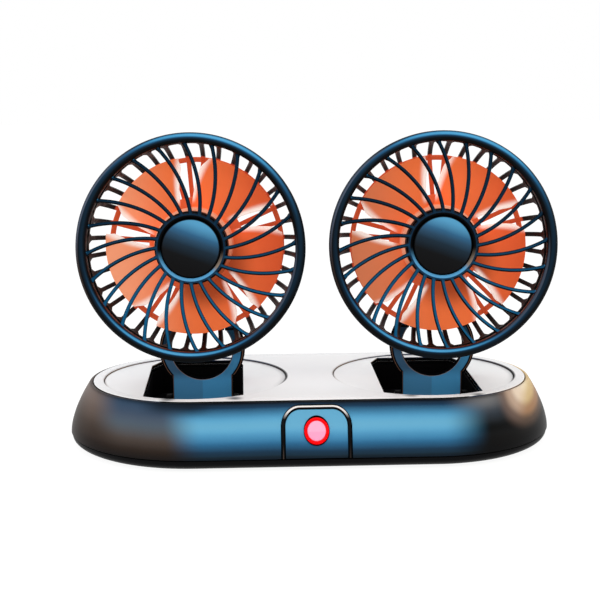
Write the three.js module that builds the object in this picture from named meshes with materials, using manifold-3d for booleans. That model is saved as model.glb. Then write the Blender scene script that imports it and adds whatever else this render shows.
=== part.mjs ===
// A double table fan: two caged fan heads, each on a folding fork in a turntable, on one long base.
// Millimetres, +Z up. The origin is the middle of the footprint, on the surface that the feet stand on.
// +X runs along the base to the right as seen from the front, and -Y is the front.

import * as THREE from "three";
import { mergeVertices } from "three/addons/utils/BufferGeometryUtils.js";
import Module from "manifold-3d";

const wasm = await Module();
wasm.setup();

// Clearances
const seatGap = 0.3; // between two pieces that sit on each other
const runGap = 0.4; // between two pieces that move past each other
const cutOverrun = 3; // how far a cutting shape runs past the face it cuts
const rootSink = 0.6; // how deep a rib, boss or blade runs into what it grows from
const weldDistance = 0.0005; // vertices nearer than this are one

// Facets
const rimSegments = 48;
const motorSegments = 20;
const rearSegments = 36; // the rear guard's own, one facet to each fin
const hubSegments = 24;
const smallSegments = 12;
const screwSegments = 8;
const endSegments = 12; // along each round end of the base

// Base, outside
const deckRadius = 51.8; // round ends of the deck, and half its depth
const turntableGap = 24; // deck between the two turntables, at least
const waistReach = 10.2; // how far the waist stands out past the deck's edge
const wallHeight = 24.5; // from the waist up to the deck's face
const wallCurve = 1.6; // power of the side wall's curve
const waistEdge = 0.5; // short straight edge under the waist
const footStand = 0.8; // how far the feet hold the base up
const bottomHeight = 5; // visible height of the bottom shell
const bottomTuck = 5; // how far the bottom shell's underside lies inside its top edge
const wallThickness = 2.4;
const floorThickness = 2;

// Deck plate
const deckThickness = 2.2;
const deckLip = 1.1; // thickness of the rim that covers the shell's edge
const deckBorder = 6.8; // deck left round the outside of a turntable

// Turntable disc
const discSink = 0.6; // how far the disc lies under the deck's face
const discFlange = 2.5; // the hidden flange stands out this far under the deck plate
const discFlangeThickness = 1.6;

// Pocket in the turntable, and the tub under it
const pocketWidth = 47.2;
const pocketBackInset = 7.8; // from the disc's edge in to the pocket's straight back edge
const pocketLip = 1.6; // width of the rim left between the pocket's round front and the disc's edge
const pocketChamferLength = 11;
const pocketChamferWidth = 3.6;
const pocketDepth = 18; // from the deck's face to the pocket's floor
const tubWall = 1.4;
const tubTabReach = 10; // length of each screw tab beside the tub
const tubTabWidth = 16;
const tubTabThickness = 2;
const earThickness = 3;
const earRadius = 5;

// Swivel
const stubRadius = 6;
const stubWireHole = 2.6; // radius of the wire passage through the stub
const bushingWall = 1.7;
const bushingFlange = 2.2;
const bushingFlangeThickness = 1.2;
const bossWall = 2.4;
const bossHeight = 7; // above the inside floor of the bottom shell
const restYaw = THREE.MathUtils.degToRad(-3.2); // both fans stand turned a little to the left

// Fork
const neckOffset = 3.9; // the fork stands this far right of the turntable's centre
const forkSetback = 4; // the fork's pins lie this far in front of the turntable's centre
const forkThickness = 4.4;
const tiltEyeInner = 11.4; // inner faces of the two eyes, from the fork's middle
const neckWidth = 29.6;
const forkRingOuter = 21;
const forkRingInner = 15.1;
const forkRingHeight = 15.2; // the ring's centre above the deck
const foldPinDepth = 13; // under the deck
const tiltPinHeight = 28.3; // above the deck
const foldBarrelRadius = 3.2;
const tiltEyeRadius = 4.2;
const pinRadius = 1.6;

// Fan head, measured back from the crest of the front rim
const hubHeight = 72.1; // the fan's axis at the crest, above the deck
const headReach = 57.2; // the crest in front of the turntable's centre
const restTilt = THREE.MathUtils.degToRad(4.6); // the head looks up by this much
const rimRadius = 52.1;
const headGap = 9.8; // air between the two front guards, at least
const rimWidth = 5.1; // from the outer edge in to the mouth
const rimBevel = 2.2;
const rimCrest = 0.5;
const rimWall = 2.3;
const rimDepth = 9;
const frontRibCount = 24;
const frontRibSteps = 3;
const frontRibWidth = 1.6;
const frontRibDepth = 2.4;
const frontRibSweep = THREE.MathUtils.degToRad(19);
const frontRibTurn = THREE.MathUtils.degToRad(-0.8);
const frontRibBack = 3.6; // centre line of the ribs behind the crest
const hubRingRadius = 15.8;
const hubRingWall = 2.2;
const hubRingBack = 2.3; // front edge of the hub ring behind the crest
const hubRingDepth = 4.4;
const hubPlateThickness = 1.5;
const capDome = 1.5; // how far the cap swells past its own edge
const capSkirt = 2;

// Rear guard
const rearRimDepth = 2.6;
const rearRibCount = 36;
const rearRibWidth = 2.2;
const rearGuardBack = 37; // rear face behind the crest
const rearGuardThickness = 2.1;
const finSetback = 0.2; // the fins lie this far inside both faces of the ring and the plate
const rearRingInset = 10.5; // from the front rim's outer edge in to the ring's
const rearRingWidth = 2;
const motorPlateRadius = 22.6;
const motorSocketWall = 1.6;
const motorSocketDepth = 7;

// Impeller and motor
const bladeCount = 5;
const bladeTipGap = 6; // from the mouth of the front rim in to the blades' tips
const bladeHubRadius = 18;
const bladeSpan = THREE.MathUtils.degToRad(52);
const bladeSweep = THREE.MathUtils.degToRad(10);
const bladeTurn = THREE.MathUtils.degToRad(60);
const bladeThickness = 1.4;
const bladeFrontBack = 19; // leading edges behind the crest
const bladeDepth = 10.5;
const bladeFlattening = 3; // the tips are this much less deep than the roots
const impellerFront = 14;
const impellerCupDepth = 15.6;
const impellerCupWall = 1.5;
const impellerBossRadius = 3.4;
const impellerBossLength = 3.4;
const motorRadius = 12;
const motorFront = 19;
const motorLength = 20;
const motorNoseRadius = 4;
const motorNoseLength = 0.6;
const shaftRadius = 1;
const shaftEndCover = 1.6; // solid front of the impeller ahead of the shaft
const shaftDepthInMotor = 12;

// Motor cover with the tilt bracket
const coverRadius = 17;
const coverFlangeRadius = 21.6;
const coverFlangeThickness = 1.8;
const coverDepth = 9;
const coverWall = 1.6;
const coverRound = 2.5;
const coverScrewRadius = 19.2; // circle of the two cover screws
const bracketWidth = 14;
const bracketThickness = 6;
const knuckleRadius = 4;

// Control panel on the front wall
const panelWidth = 32.8;
const panelCorner = 9;
const panelGroove = 2.1; // width of the groove that holds the trim
const panelRecess = 1.6;
const panelGrooveDepth = 0.8;
const trimStand = 0.5; // how far the trim stands out past the wall's face
const panelWindowHeight = 15;
const buttonDepth = 13; // its centre under the deck
const bezelWidth = 11.6;
const bezelHeight = 13.2;
const bezelWall = 1.5;
const bezelStand = 0.6;
const bezelDepth = 3.2;
const buttonStand = 1;
const buttonFlange = 0.8;
const buttonFlangeThickness = 1;
const buttonTravel = 0.8;
const plungerRadius = 1.7;
const plungerLength = 2.6;
const switchSize = 7;
const switchDepth = 4;
const boardWidth = 30;
const boardHeight = 18;
const boardThickness = 1.6;
const boardPostRadius = 2.2;
const boardPostSpacing = 23;

// Power socket in the back wall
const socketWidth = 9.8;
const socketHeight = 4.6;
const socketLength = 9;
const socketWall = 0.8;
const socketMouthDepth = 6;
const socketTongueWidth = 6.4;
const socketTongueThickness = 0.7;
const socketTongueLength = 4.4;
const socketSink = 0.4;
const socketRise = 13; // its centre above the feet

// Feet and screws
const footRadius = 6;
const footRecess = 0.6;
const footAngle = THREE.MathUtils.degToRad(60);
const footInset = 9.8; // a foot's centre inside the deck's outline
const postInset = 9.7; // a post's centre inside the waist's outline
const postAngle = THREE.MathUtils.degToRad(45);
const postRadius = 3.8;
const postHeight = 14;
const postRibThickness = 2.4;
const screwHeadRadius = 3;
const screwHeadThickness = 1;
const screwRadius = 1.3;
const bottomScrewLength = 9;
const smallScrewHeadRadius = 1.9;
const smallScrewHeadThickness = 0.9;
const smallScrewRadius = 0.9;
const smallScrewLength = 3.4;
const boardScrewLength = 5;

// Sizes worked out from the ones above
const turntableRadius = deckRadius - deckBorder;
const fanSpacing = Math.max(2 * turntableRadius + turntableGap, 2 * rimRadius + headGap);
const pocketBack = turntableRadius - pocketBackInset;
const footCircle = deckRadius - footInset;
const bladeTipRadius = rimRadius - rimWidth - bladeTipGap;
const rearRingRadius = rimRadius - rearRingInset;

// Heights worked out from the sizes above
const bottomUnderside = footStand;
const insideFloor = bottomUnderside + floorThickness;
const shellBottom = bottomUnderside + bottomHeight + seatGap;
const waist = shellBottom + waistEdge;
const deckTop = waist + wallHeight;
const shellTop = deckTop - deckLip - seatGap;
const waistRadius = deckRadius + waistReach;
const postCircle = waistRadius - postInset;
const tubBottom = deckTop - pocketDepth - tubWall;
const bossTop = insideFloor + bossHeight;
const panelWindowWidth = boardPostSpacing + 2 * (boardPostRadius + runGap);

// Materials
function finish(color, roughness, metalness) {
  return new THREE.MeshStandardMaterial({ color, roughness, metalness });
}
const blueShellPaint = finish(0x2f6d94, 0.35, 0.6);
const blackPlastic = finish(0x0b0c0f, 0.45, 0);
const paleDeckPlastic = finish(0xe8e8e6, 0.2, 0);
const guardPaint = finish(0x123a52, 0.35, 0.5);
const rearGuardPlastic = finish(0x241512, 0.5, 0);
const orangePlastic = finish(0xea6a32, 0.45, 0);
const redPlastic = finish(0xff0a12, 0.3, 0);
const pinkPlastic = finish(0xffa9c8, 0.35, 0);
const steel = finish(0xb9bcc0, 0.3, 1);
const blackRubber = finish(0x141414, 0.85, 0);
const boardGreen = finish(0x1d5a34, 0.6, 0);
const whiteAcetal = finish(0xe2ded2, 0.5, 0);

// Closed geometry to solid; a shape that came out inside out is turned round
function solidOf(geometry) {
  geometry.deleteAttribute("normal");
  geometry.deleteAttribute("uv");
  const merged = mergeVertices(geometry, weldDistance);
  const vertProperties = new Float32Array(merged.getAttribute("position").array);
  const triVerts = new Uint32Array(merged.index.array);
  const made = new wasm.Manifold(new wasm.Mesh({ numProp: 3, vertProperties, triVerts }));
  if (made.volume() >= 0) return made;
  for (let i = 0; i < triVerts.length; i += 3) {
    const second = triVerts[i + 1];
    triVerts[i + 1] = triVerts[i + 2];
    triVerts[i + 2] = second;
  }
  return new wasm.Manifold(new wasm.Mesh({ numProp: 3, vertProperties, triVerts }));
}

function joined(solids) {
  return solids.reduce((all, one) => all.add(one));
}

function block(xLow, xHigh, yLow, yHigh, zLow, zHigh) {
  const geometry = new THREE.BoxGeometry(xHigh - xLow, yHigh - yLow, zHigh - zLow);
  geometry.translate((xLow + xHigh) / 2, (yLow + yHigh) / 2, (zLow + zHigh) / 2);
  return solidOf(geometry);
}

// Turned shapes: outline points are [radius, along the axis]
function turnedAlongY(outline, segments) {
  const points = outline.map(([radius, along]) => new THREE.Vector2(radius, along));
  return new THREE.LatheGeometry(points, segments);
}

function turnedAlongZ(outline, segments) {
  return turnedAlongY(outline, segments).rotateX(Math.PI / 2);
}

function turnedAlongX(outline, segments) {
  return turnedAlongY(outline, segments).rotateZ(-Math.PI / 2);
}

function rod(radius, low, high) {
  return [
    [0, low],
    [radius, low],
    [radius, high],
    [0, high],
  ];
}

function tube(inner, outer, low, high) {
  return [
    [inner, low],
    [outer, low],
    [outer, high],
    [inner, high],
    [inner, low],
  ];
}

function rodZ(radius, low, high, x, y, segments = smallSegments) {
  return solidOf(turnedAlongZ(rod(radius, low, high), segments).translate(x, y, 0));
}

function rodX(radius, low, high, y, z, segments = smallSegments) {
  return solidOf(turnedAlongX(rod(radius, low, high), segments).translate(0, y, z));
}

function rodY(radius, low, high, x, z, segments = smallSegments) {
  return solidOf(turnedAlongY(rod(radius, low, high), segments).translate(x, 0, z));
}

// A shape drawn in X and Z, run along Y
function prismY(shape, low, high) {
  const options = { depth: high - low, bevelEnabled: false, curveSegments: smallSegments };
  return solidOf(new THREE.ExtrudeGeometry(shape, options).rotateX(Math.PI / 2).translate(0, high, 0));
}

function pieceOf(name, solid, material) {
  const { numProp, vertProperties, triVerts } = solid.getMesh();
  const positions = new Float32Array((vertProperties.length / numProp) * 3);
  for (let i = 0; i < positions.length / 3; i += 1) {
    positions.set(vertProperties.subarray(i * numProp, i * numProp + 3), i * 3);
  }
  const geometry = new THREE.BufferGeometry();
  geometry.setAttribute("position", new THREE.BufferAttribute(positions, 3));
  geometry.setIndex(new THREE.BufferAttribute(new Uint32Array(triVerts), 1));
  geometry.computeVertexNormals();
  const piece = new THREE.Mesh(geometry, material);
  piece.name = name;
  return piece;
}

// A screw along +Z from the underside of its head
function screwSolid(headRadius, headThickness, radius, length) {
  const outline = [
    [0, -headThickness],
    [headRadius, -headThickness],
    [headRadius, 0],
    [radius, 0],
    [radius, length],
    [0, length],
  ];
  return solidOf(turnedAlongZ(outline, screwSegments));
}

// The base's outline: a long round-ended loop of one radius
function baseLoop(radius, height) {
  const loop = [];
  for (const side of [1, -1]) {
    for (let i = 0; i <= endSegments; i += 1) {
      const angle = (side > 0 ? -Math.PI / 2 : Math.PI / 2) + (Math.PI * i) / endSegments;
      const x = (side * fanSpacing) / 2 + radius * Math.cos(angle);
      loop.push(new THREE.Vector3(x, radius * Math.sin(angle), height));
    }
  }
  return loop;
}

// A solid through loops of equal length, closed by a flat fan at each end
function loft(loops) {
  const count = loops[0].length;
  const positions = [];
  const triangle = (a, b, c) => positions.push(a.x, a.y, a.z, b.x, b.y, b.z, c.x, c.y, c.z);
  for (let level = 0; level + 1 < loops.length; level += 1) {
    for (let i = 0; i < count; i += 1) {
      const j = (i + 1) % count;
      triangle(loops[level][i], loops[level][j], loops[level + 1][j]);
      triangle(loops[level][i], loops[level + 1][j], loops[level + 1][i]);
    }
  }
  const last = loops[loops.length - 1];
  for (let i = 1; i + 1 < count; i += 1) {
    triangle(loops[0][0], loops[0][i + 1], loops[0][i]);
    triangle(last[0], last[i], last[i + 1]);
  }
  const geometry = new THREE.BufferGeometry();
  geometry.setAttribute("position", new THREE.Float32BufferAttribute(positions, 3));
  return solidOf(geometry);
}

// Radius of the side wall at a height: full at the waist, drawn in towards the deck by a power curve
function wallRadius(height) {
  const rise = Math.max(0, height - waist) / wallHeight;
  return waistRadius - waistReach * Math.pow(rise, wallCurve);
}

// The wall's solid moved in or out by an offset, from the shell's bottom edge to its top edge
const wallLevelShares = [0, 0.26, 0.54, 0.8, 1];
function wallSolid(offset, extra = 0) {
  const loops = [baseLoop(waistRadius + offset, shellBottom - extra)];
  for (const share of wallLevelShares) {
    const height = waist + (shellTop - waist) * share;
    loops.push(baseLoop(wallRadius(height) + offset, height));
  }
  if (extra > 0) loops.push(baseLoop(wallRadius(shellTop) + offset, shellTop + extra));
  return loft(loops);
}

const corners = [
  [-1, -1],
  [1, -1],
  [-1, 1],
  [1, 1],
];
const cornerNames = ["front_left", "front_right", "back_left", "back_right"];

function cornerPoint([sideX, sideY], circle, angle) {
  return [
    sideX * (fanSpacing / 2 + circle * Math.cos(angle)),
    sideY * circle * Math.sin(angle),
  ];
}

// The panel's tombstone outline, with its top corners rounded
function panelShape(inset, lowInset) {
  const half = panelWidth / 2 - inset;
  const top = shellTop - seatGap - inset;
  const low = shellBottom + lowInset;
  const corner = panelCorner - inset / 2;
  const shape = new THREE.Shape();
  shape.moveTo(-half, low);
  shape.lineTo(half, low);
  shape.lineTo(half, top - corner);
  shape.absarc(half - corner, top - corner, corner, 0, Math.PI / 2, false);
  shape.lineTo(-half + corner, top);
  shape.absarc(-half + corner, top - corner, corner, Math.PI / 2, Math.PI, false);
  shape.lineTo(-half, low);
  return shape;
}

// Where the button sits on the curved front wall, and the way it points
const buttonHeight = deckTop - buttonDepth;
const buttonSlope = Math.atan(
  (wallRadius(buttonHeight - bezelHeight / 2) - wallRadius(buttonHeight + bezelHeight / 2)) / bezelHeight,
);
const buttonFrame = new THREE.Matrix4()
  .makeRotationX(-buttonSlope)
  .setPosition(0, -wallRadius(buttonHeight), buttonHeight);

// Distances behind the wall's face, in the button's frame
const plungerFront = bezelDepth + 2 * seatGap + buttonFlangeThickness;
const switchFront = plungerFront + buttonTravel + seatGap;
const boardFront = bezelDepth + buttonFlangeThickness + buttonTravel + plungerLength + switchDepth;

// An oval rod in the button's frame, from one distance behind the wall's face to another
function ovalGeometry(width, height, low, high) {
  const geometry = turnedAlongY(rod(1, low, high), hubSegments);
  return geometry.scale(width / 2, 1, height / 2);
}

function ovalInWorld(width, height, low, high) {
  return solidOf(ovalGeometry(width, height, low, high).applyMatrix4(buttonFrame));
}

function baseUpperShell() {
  const outside = wallSolid(0);
  const inside = wallSolid(-wallThickness, cutOverrun);
  let shell = outside.subtract(inside);
  for (const corner of corners) {
    const [x, y] = cornerPoint(corner, postCircle, postAngle);
    const post = rodZ(postRadius, insideFloor + seatGap, insideFloor + postHeight, x, y);
    const rib = new THREE.BoxGeometry(postInset, postRibThickness, postHeight - bottomHeight);
    rib.rotateZ(Math.atan2(corner[1], corner[0]));
    const [ribX, ribY] = cornerPoint(corner, postCircle + postInset / 2, postAngle);
    rib.translate(ribX, ribY, insideFloor + postHeight - (postHeight - bottomHeight) / 2);
    shell = shell.add(post).add(solidOf(rib).intersect(outside));
    const holeTop = insideFloor + bottomScrewLength + seatGap;
    shell = shell.subtract(rodZ(screwRadius + seatGap, insideFloor, holeTop, x, y, screwSegments));
  }
  const front = -waistRadius - cutOverrun;
  const recess = prismY(panelShape(0, 0), front, 0).subtract(wallSolid(-panelRecess, cutOverrun));
  const window = block(
    -panelWindowWidth / 2,
    panelWindowWidth / 2,
    front,
    -deckRadius / 2,
    buttonHeight - panelWindowHeight / 2,
    buttonHeight + panelWindowHeight / 2,
  );
  const socketHole = block(
    -socketWidth / 2 - seatGap,
    socketWidth / 2 + seatGap,
    deckRadius / 2,
    waistRadius + cutOverrun,
    socketRise - socketHeight / 2 - seatGap,
    socketRise + socketHeight / 2 + seatGap,
  );
  return shell.subtract(recess).subtract(window).subtract(socketHole);
}

function deckPlate() {
  const lip = loft([
    baseLoop(deckRadius, deckTop - deckLip),
    baseLoop(deckRadius, deckTop - deckLip / 2),
    baseLoop(deckRadius - deckLip / 2, deckTop),
  ]);
  const stepRadius = wallRadius(shellTop) - wallThickness - seatGap;
  const step = loft([
    baseLoop(stepRadius, deckTop - deckThickness),
    baseLoop(stepRadius, deckTop - deckLip / 2),
  ]);
  let plate = lip.add(step);
  for (const side of [-1, 1]) {
    plate = plate.subtract(
      rodZ(turntableRadius + runGap, deckTop - deckThickness - cutOverrun, deckTop + cutOverrun,
        (side * fanSpacing) / 2, 0, rimSegments),
    );
  }
  return plate;
}

function baseBottomShell() {
  const topRadius = waistRadius - waistEdge;
  const underRadius = topRadius - bottomTuck;
  const top = bottomUnderside + bottomHeight;
  const tuckShares = [
    [0, 1],
    [0.3, 0.35],
    [1, 0],
  ];
  const sideLoop = ([riseShare, tuckShare]) =>
    baseLoop(topRadius - bottomTuck * tuckShare, bottomUnderside + bottomHeight * riseShare);
  const outside = loft(tuckShares.map(sideLoop));
  const inside = loft([
    baseLoop(underRadius, insideFloor),
    baseLoop(topRadius - wallThickness, top),
    baseLoop(topRadius - wallThickness, top + cutOverrun),
  ]);
  let shell = outside.subtract(inside);
  for (const side of [-1, 1]) {
    const bossInner = stubRadius + bushingWall + 2 * seatGap;
    const boss = tube(bossInner, bossInner + bossWall, insideFloor - rootSink, bossTop);
    shell = shell.add(solidOf(turnedAlongZ(boss, hubSegments).translate((side * fanSpacing) / 2, 0, 0)));
  }
  for (const corner of corners) {
    const [x, y] = cornerPoint(corner, postCircle, postAngle);
    const [footX, footY] = cornerPoint(corner, footCircle, footAngle);
    shell = shell
      .subtract(rodZ(screwRadius + seatGap, 0, insideFloor + cutOverrun, x, y, screwSegments))
      .subtract(rodZ(screwHeadRadius + seatGap, 0, bottomUnderside + screwHeadThickness + seatGap, x, y))
      .subtract(rodZ(footRadius + seatGap, 0, bottomUnderside + footRecess, footX, footY));
  }
  return shell;
}

function controlPanel() {
  const back = wallSolid(-panelRecess + seatGap, cutOverrun);
  const face = wallSolid(0, cutOverrun);
  const grooveFloor = wallSolid(-panelGrooveDepth, cutOverrun);
  const front = -waistRadius - cutOverrun;
  const flange = prismY(panelShape(seatGap, seatGap), front, 0).intersect(grooveFloor).subtract(back);
  const raised = prismY(panelShape(panelGroove, seatGap), front, 0).intersect(face).subtract(back);
  let panel = flange.add(raised);
  const postOutline = rod(boardPostRadius, panelRecess / 2, boardFront - seatGap);
  const holeOutline = rod(smallScrewRadius + seatGap, boardFront - boardScrewLength, boardFront);
  for (const side of [-1, 1]) {
    const x = (side * boardPostSpacing) / 2;
    const post = turnedAlongY(postOutline, smallSegments);
    const hole = turnedAlongY(holeOutline, screwSegments);
    panel = panel
      .add(solidOf(post.translate(x, 0, 0).applyMatrix4(buttonFrame)))
      .subtract(solidOf(hole.translate(x, 0, 0).applyMatrix4(buttonFrame)));
  }
  const holeWidth = bezelWidth + 2 * seatGap;
  const holeHeight = bezelHeight + 2 * seatGap;
  return panel.subtract(ovalInWorld(holeWidth, holeHeight, -cutOverrun, bezelDepth + cutOverrun));
}

// A bead in the panel's groove: up one side, over the top and down the other
function panelTrim() {
  const front = -waistRadius - cutOverrun;
  const outer = prismY(panelShape(seatGap, seatGap), front, 0);
  const inner = prismY(panelShape(panelGroove - seatGap, -cutOverrun), front, 0);
  const face = wallSolid(trimStand, cutOverrun);
  const back = wallSolid(-panelGrooveDepth + seatGap, cutOverrun);
  return outer.subtract(inner).intersect(face).subtract(back);
}

function buttonBezel() {
  const ring = solidOf(ovalGeometry(bezelWidth, bezelHeight, -bezelStand, bezelDepth));
  const boreWidth = bezelWidth - 2 * bezelWall;
  const boreHeight = bezelHeight - 2 * bezelWall;
  return ring.subtract(solidOf(ovalGeometry(boreWidth, boreHeight, -cutOverrun, bezelDepth + cutOverrun)));
}

function powerButton() {
  const width = bezelWidth - 2 * bezelWall - 2 * seatGap;
  const height = bezelHeight - 2 * bezelWall - 2 * seatGap;
  const flangeFront = bezelDepth + seatGap;
  const stemFront = -buttonStand + buttonFlange / 2;
  const stem = solidOf(ovalGeometry(width, height, stemFront, flangeFront + rootSink));
  const crown = solidOf(ovalGeometry(width - buttonFlange, height - buttonFlange, -buttonStand, 0));
  const flangeWidth = width + 2 * buttonFlange;
  const flangeHeight = height + 2 * buttonFlange;
  const flangeBack = flangeFront + buttonFlangeThickness;
  const flange = solidOf(ovalGeometry(flangeWidth, flangeHeight, flangeFront, flangeBack));
  return joined([stem, crown, flange]);
}

function switchBody() {
  const half = switchSize / 2;
  const body = block(-half, half, switchFront, boardFront - seatGap, -half, half);
  return body.subtract(rodY(plungerRadius + seatGap, switchFront - cutOverrun,
    plungerFront + plungerLength + buttonTravel + seatGap, 0, 0));
}

function controlBoard() {
  let board = block(-boardWidth / 2, boardWidth / 2, boardFront, boardFront + boardThickness,
    -boardHeight / 2, boardHeight / 2);
  for (const side of [-1, 1]) {
    board = board.subtract(
      rodY(smallScrewRadius + seatGap, boardFront - cutOverrun, boardFront + boardThickness + cutOverrun,
        (side * boardPostSpacing) / 2, 0, screwSegments),
    );
  }
  return board;
}

function powerSocket() {
  const faceY = wallRadius(socketRise) - socketSink;
  const halfWidth = socketWidth / 2;
  const halfHeight = socketHeight / 2;
  const low = socketRise - halfHeight;
  const high = socketRise + halfHeight;
  const body = block(-halfWidth, halfWidth, faceY - socketLength, faceY, low, high);
  const mouth = block(-halfWidth + socketWall, halfWidth - socketWall, faceY - socketMouthDepth,
    faceY + cutOverrun, low + socketWall, high - socketWall);
  const tongue = block(-socketTongueWidth / 2, socketTongueWidth / 2, faceY - socketMouthDepth - rootSink,
    faceY - socketMouthDepth + socketTongueLength,
    socketRise - socketTongueThickness / 2, socketRise + socketTongueThickness / 2);
  return body.subtract(mouth).add(tongue);
}

// The pocket's outline seen from above: round at the front, straight sides, chamfered back corners
function pocketShape(grow) {
  const half = pocketWidth / 2 + grow;
  const back = pocketBack + grow;
  const frontRadius = turntableRadius - pocketLip + grow;
  const frontAngle = Math.asin(half / frontRadius);
  const shape = new THREE.Shape();
  shape.absarc(0, 0, frontRadius, -Math.PI / 2 - frontAngle, -Math.PI / 2 + frontAngle, false);
  shape.lineTo(half, back - pocketChamferLength);
  shape.lineTo(half - pocketChamferWidth, back);
  shape.lineTo(-half + pocketChamferWidth, back);
  shape.lineTo(-half, back - pocketChamferLength);
  return shape;
}

// The pocket is cut square to the base as the fans stand at rest
function pocketPrism(grow, low, high) {
  const options = { depth: high - low, bevelEnabled: false, curveSegments: smallSegments };
  const geometry = new THREE.ExtrudeGeometry(pocketShape(grow), options);
  return solidOf(geometry.translate(0, 0, low).rotateZ(-restYaw));
}

// Heights of the turntable's pieces
const discTop = deckTop - discSink;
const flangeTop = deckTop - deckThickness - runGap;
const flangeBottom = flangeTop - discFlangeThickness;
const tabTop = flangeBottom - seatGap;
const tabBottom = tabTop - tubTabThickness;
const tabScrewX = pocketWidth / 2 + tubWall + tubTabReach / 2;

function turntableDisc() {
  const outline = [
    [0, flangeBottom],
    [turntableRadius + discFlange, flangeBottom],
    [turntableRadius + discFlange, flangeTop],
    [turntableRadius, flangeTop],
    [turntableRadius, discTop],
    [0, discTop],
  ];
  let disc = solidOf(turnedAlongZ(outline, rimSegments));
  disc = disc.subtract(pocketPrism(0, flangeBottom - cutOverrun, discTop + cutOverrun));
  for (const side of [-1, 1]) {
    disc = disc.subtract(
      rodZ(smallScrewRadius + seatGap, flangeBottom - cutOverrun, tabBottom + smallScrewLength + seatGap,
        side * tabScrewX, 0, screwSegments),
    );
  }
  return disc;
}

// The fold pin's line in the turntable's frame
const foldPinHeight = deckTop - foldPinDepth;
const tiltEyeOuter = Math.sqrt(forkRingOuter ** 2 - (tiltPinHeight - forkRingHeight) ** 2);
const earInner = neckWidth / 2 + runGap;
const earOuter = earInner + earThickness;

function pivotTub() {
  const wall = pocketPrism(tubWall, tubBottom, tabTop);
  const hollow = pocketPrism(0, tubBottom + tubWall, tabTop + cutOverrun);
  const tabReach = pocketWidth / 2 + tubWall + tubTabReach;
  const tabs = block(-tabReach, tabReach, -tubTabWidth / 2, tubTabWidth / 2, tabBottom, tabTop);
  let tub = wall.add(tabs).subtract(hollow);
  const floor = tubBottom + tubWall;
  for (const side of [-1, 1]) {
    const low = neckOffset + Math.min(side * earInner, side * earOuter);
    const high = neckOffset + Math.max(side * earInner, side * earOuter);
    const ear = rodX(earRadius, low, high, -forkSetback, foldPinHeight);
    const earFoot = block(low, high, -forkSetback - earRadius, -forkSetback + earRadius,
      floor - rootSink, foldPinHeight);
    tub = tub.add(ear).add(earFoot);
    tub = tub.subtract(
      rodZ(smallScrewRadius + seatGap, tabBottom - cutOverrun, tabTop + cutOverrun,
        side * tabScrewX, 0, screwSegments),
    );
  }
  const pinHole = rodX(pinRadius + seatGap, neckOffset - earOuter - cutOverrun / 2,
    neckOffset + earOuter + cutOverrun / 2, -forkSetback, foldPinHeight);
  const stub = rodZ(stubRadius, insideFloor + runGap, tubBottom + rootSink, 0, 0, hubSegments);
  const wireHole = rodZ(stubWireHole, insideFloor, floor + cutOverrun / 2, 0, 0);
  return tub.subtract(pinHole).add(stub).subtract(wireHole);
}

function swivelBushing() {
  const inner = stubRadius + seatGap;
  const outer = inner + bushingWall;
  const top = tubBottom - seatGap;
  const flangeLow = Math.max(bossTop + seatGap, top - bushingFlangeThickness);
  const outline = [
    [inner, insideFloor + seatGap],
    [outer, insideFloor + seatGap],
    [outer, flangeLow],
    [outer + bushingFlange, flangeLow],
    [outer + bushingFlange, top],
    [inner, top],
    [inner, insideFloor + seatGap],
  ];
  return solidOf(turnedAlongZ(outline, motorSegments));
}

function fork() {
  const ringCentre = deckTop + forkRingHeight;
  const tilt = deckTop + tiltPinHeight;
  const halfNeck = neckWidth / 2;
  const shoulderAngle = Math.acos(halfNeck / forkRingOuter);
  const outerEnd = Math.asin((tilt - ringCentre) / forkRingOuter);
  const innerEnd = Math.acos(tiltEyeInner / forkRingInner);
  const shape = new THREE.Shape();
  const neckBottom = foldPinHeight - foldBarrelRadius;
  shape.moveTo(-halfNeck, neckBottom);
  shape.lineTo(halfNeck, neckBottom);
  shape.absarc(0, ringCentre, forkRingOuter, -shoulderAngle, outerEnd, false);
  shape.lineTo(tiltEyeInner, tilt);
  shape.absarc(0, ringCentre, forkRingInner, innerEnd, -Math.PI - innerEnd, true);
  shape.lineTo(-tiltEyeInner, tilt);
  shape.absarc(0, ringCentre, forkRingOuter, Math.PI - outerEnd, Math.PI + shoulderAngle, false);
  const plate = prismY(shape, -forkThickness / 2, forkThickness / 2);
  const barrel = rodX(foldBarrelRadius, -halfNeck, halfNeck, 0, foldPinHeight);
  const eyes = [
    rodX(tiltEyeRadius, -tiltEyeOuter, -tiltEyeInner, 0, tilt),
    rodX(tiltEyeRadius, tiltEyeInner, tiltEyeOuter, 0, tilt),
  ];
  const reach = forkRingOuter + cutOverrun;
  return joined([plate, barrel, ...eyes])
    .subtract(rodX(pinRadius + seatGap, -reach, reach, 0, foldPinHeight))
    .subtract(rodX(pinRadius + seatGap, -reach, reach, 0, tilt));
}

// The front guard's rim: an outer bevel, a narrow crest and an inner bevel, with a skirt behind
function rimOutline() {
  const mouth = rimRadius - rimWidth;
  const crestOuter = rimRadius - rimBevel;
  const crestInner = crestOuter - rimCrest;
  return [
    [rimRadius, rimBevel],
    [crestOuter, 0],
    [crestInner, 0],
    [mouth, rimBevel],
    [mouth, rimBevel + frontRibDepth],
    [rimRadius - rimWall, rimDepth],
    [rimRadius, rimDepth],
    [rimRadius, rimBevel],
  ];
}

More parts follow.
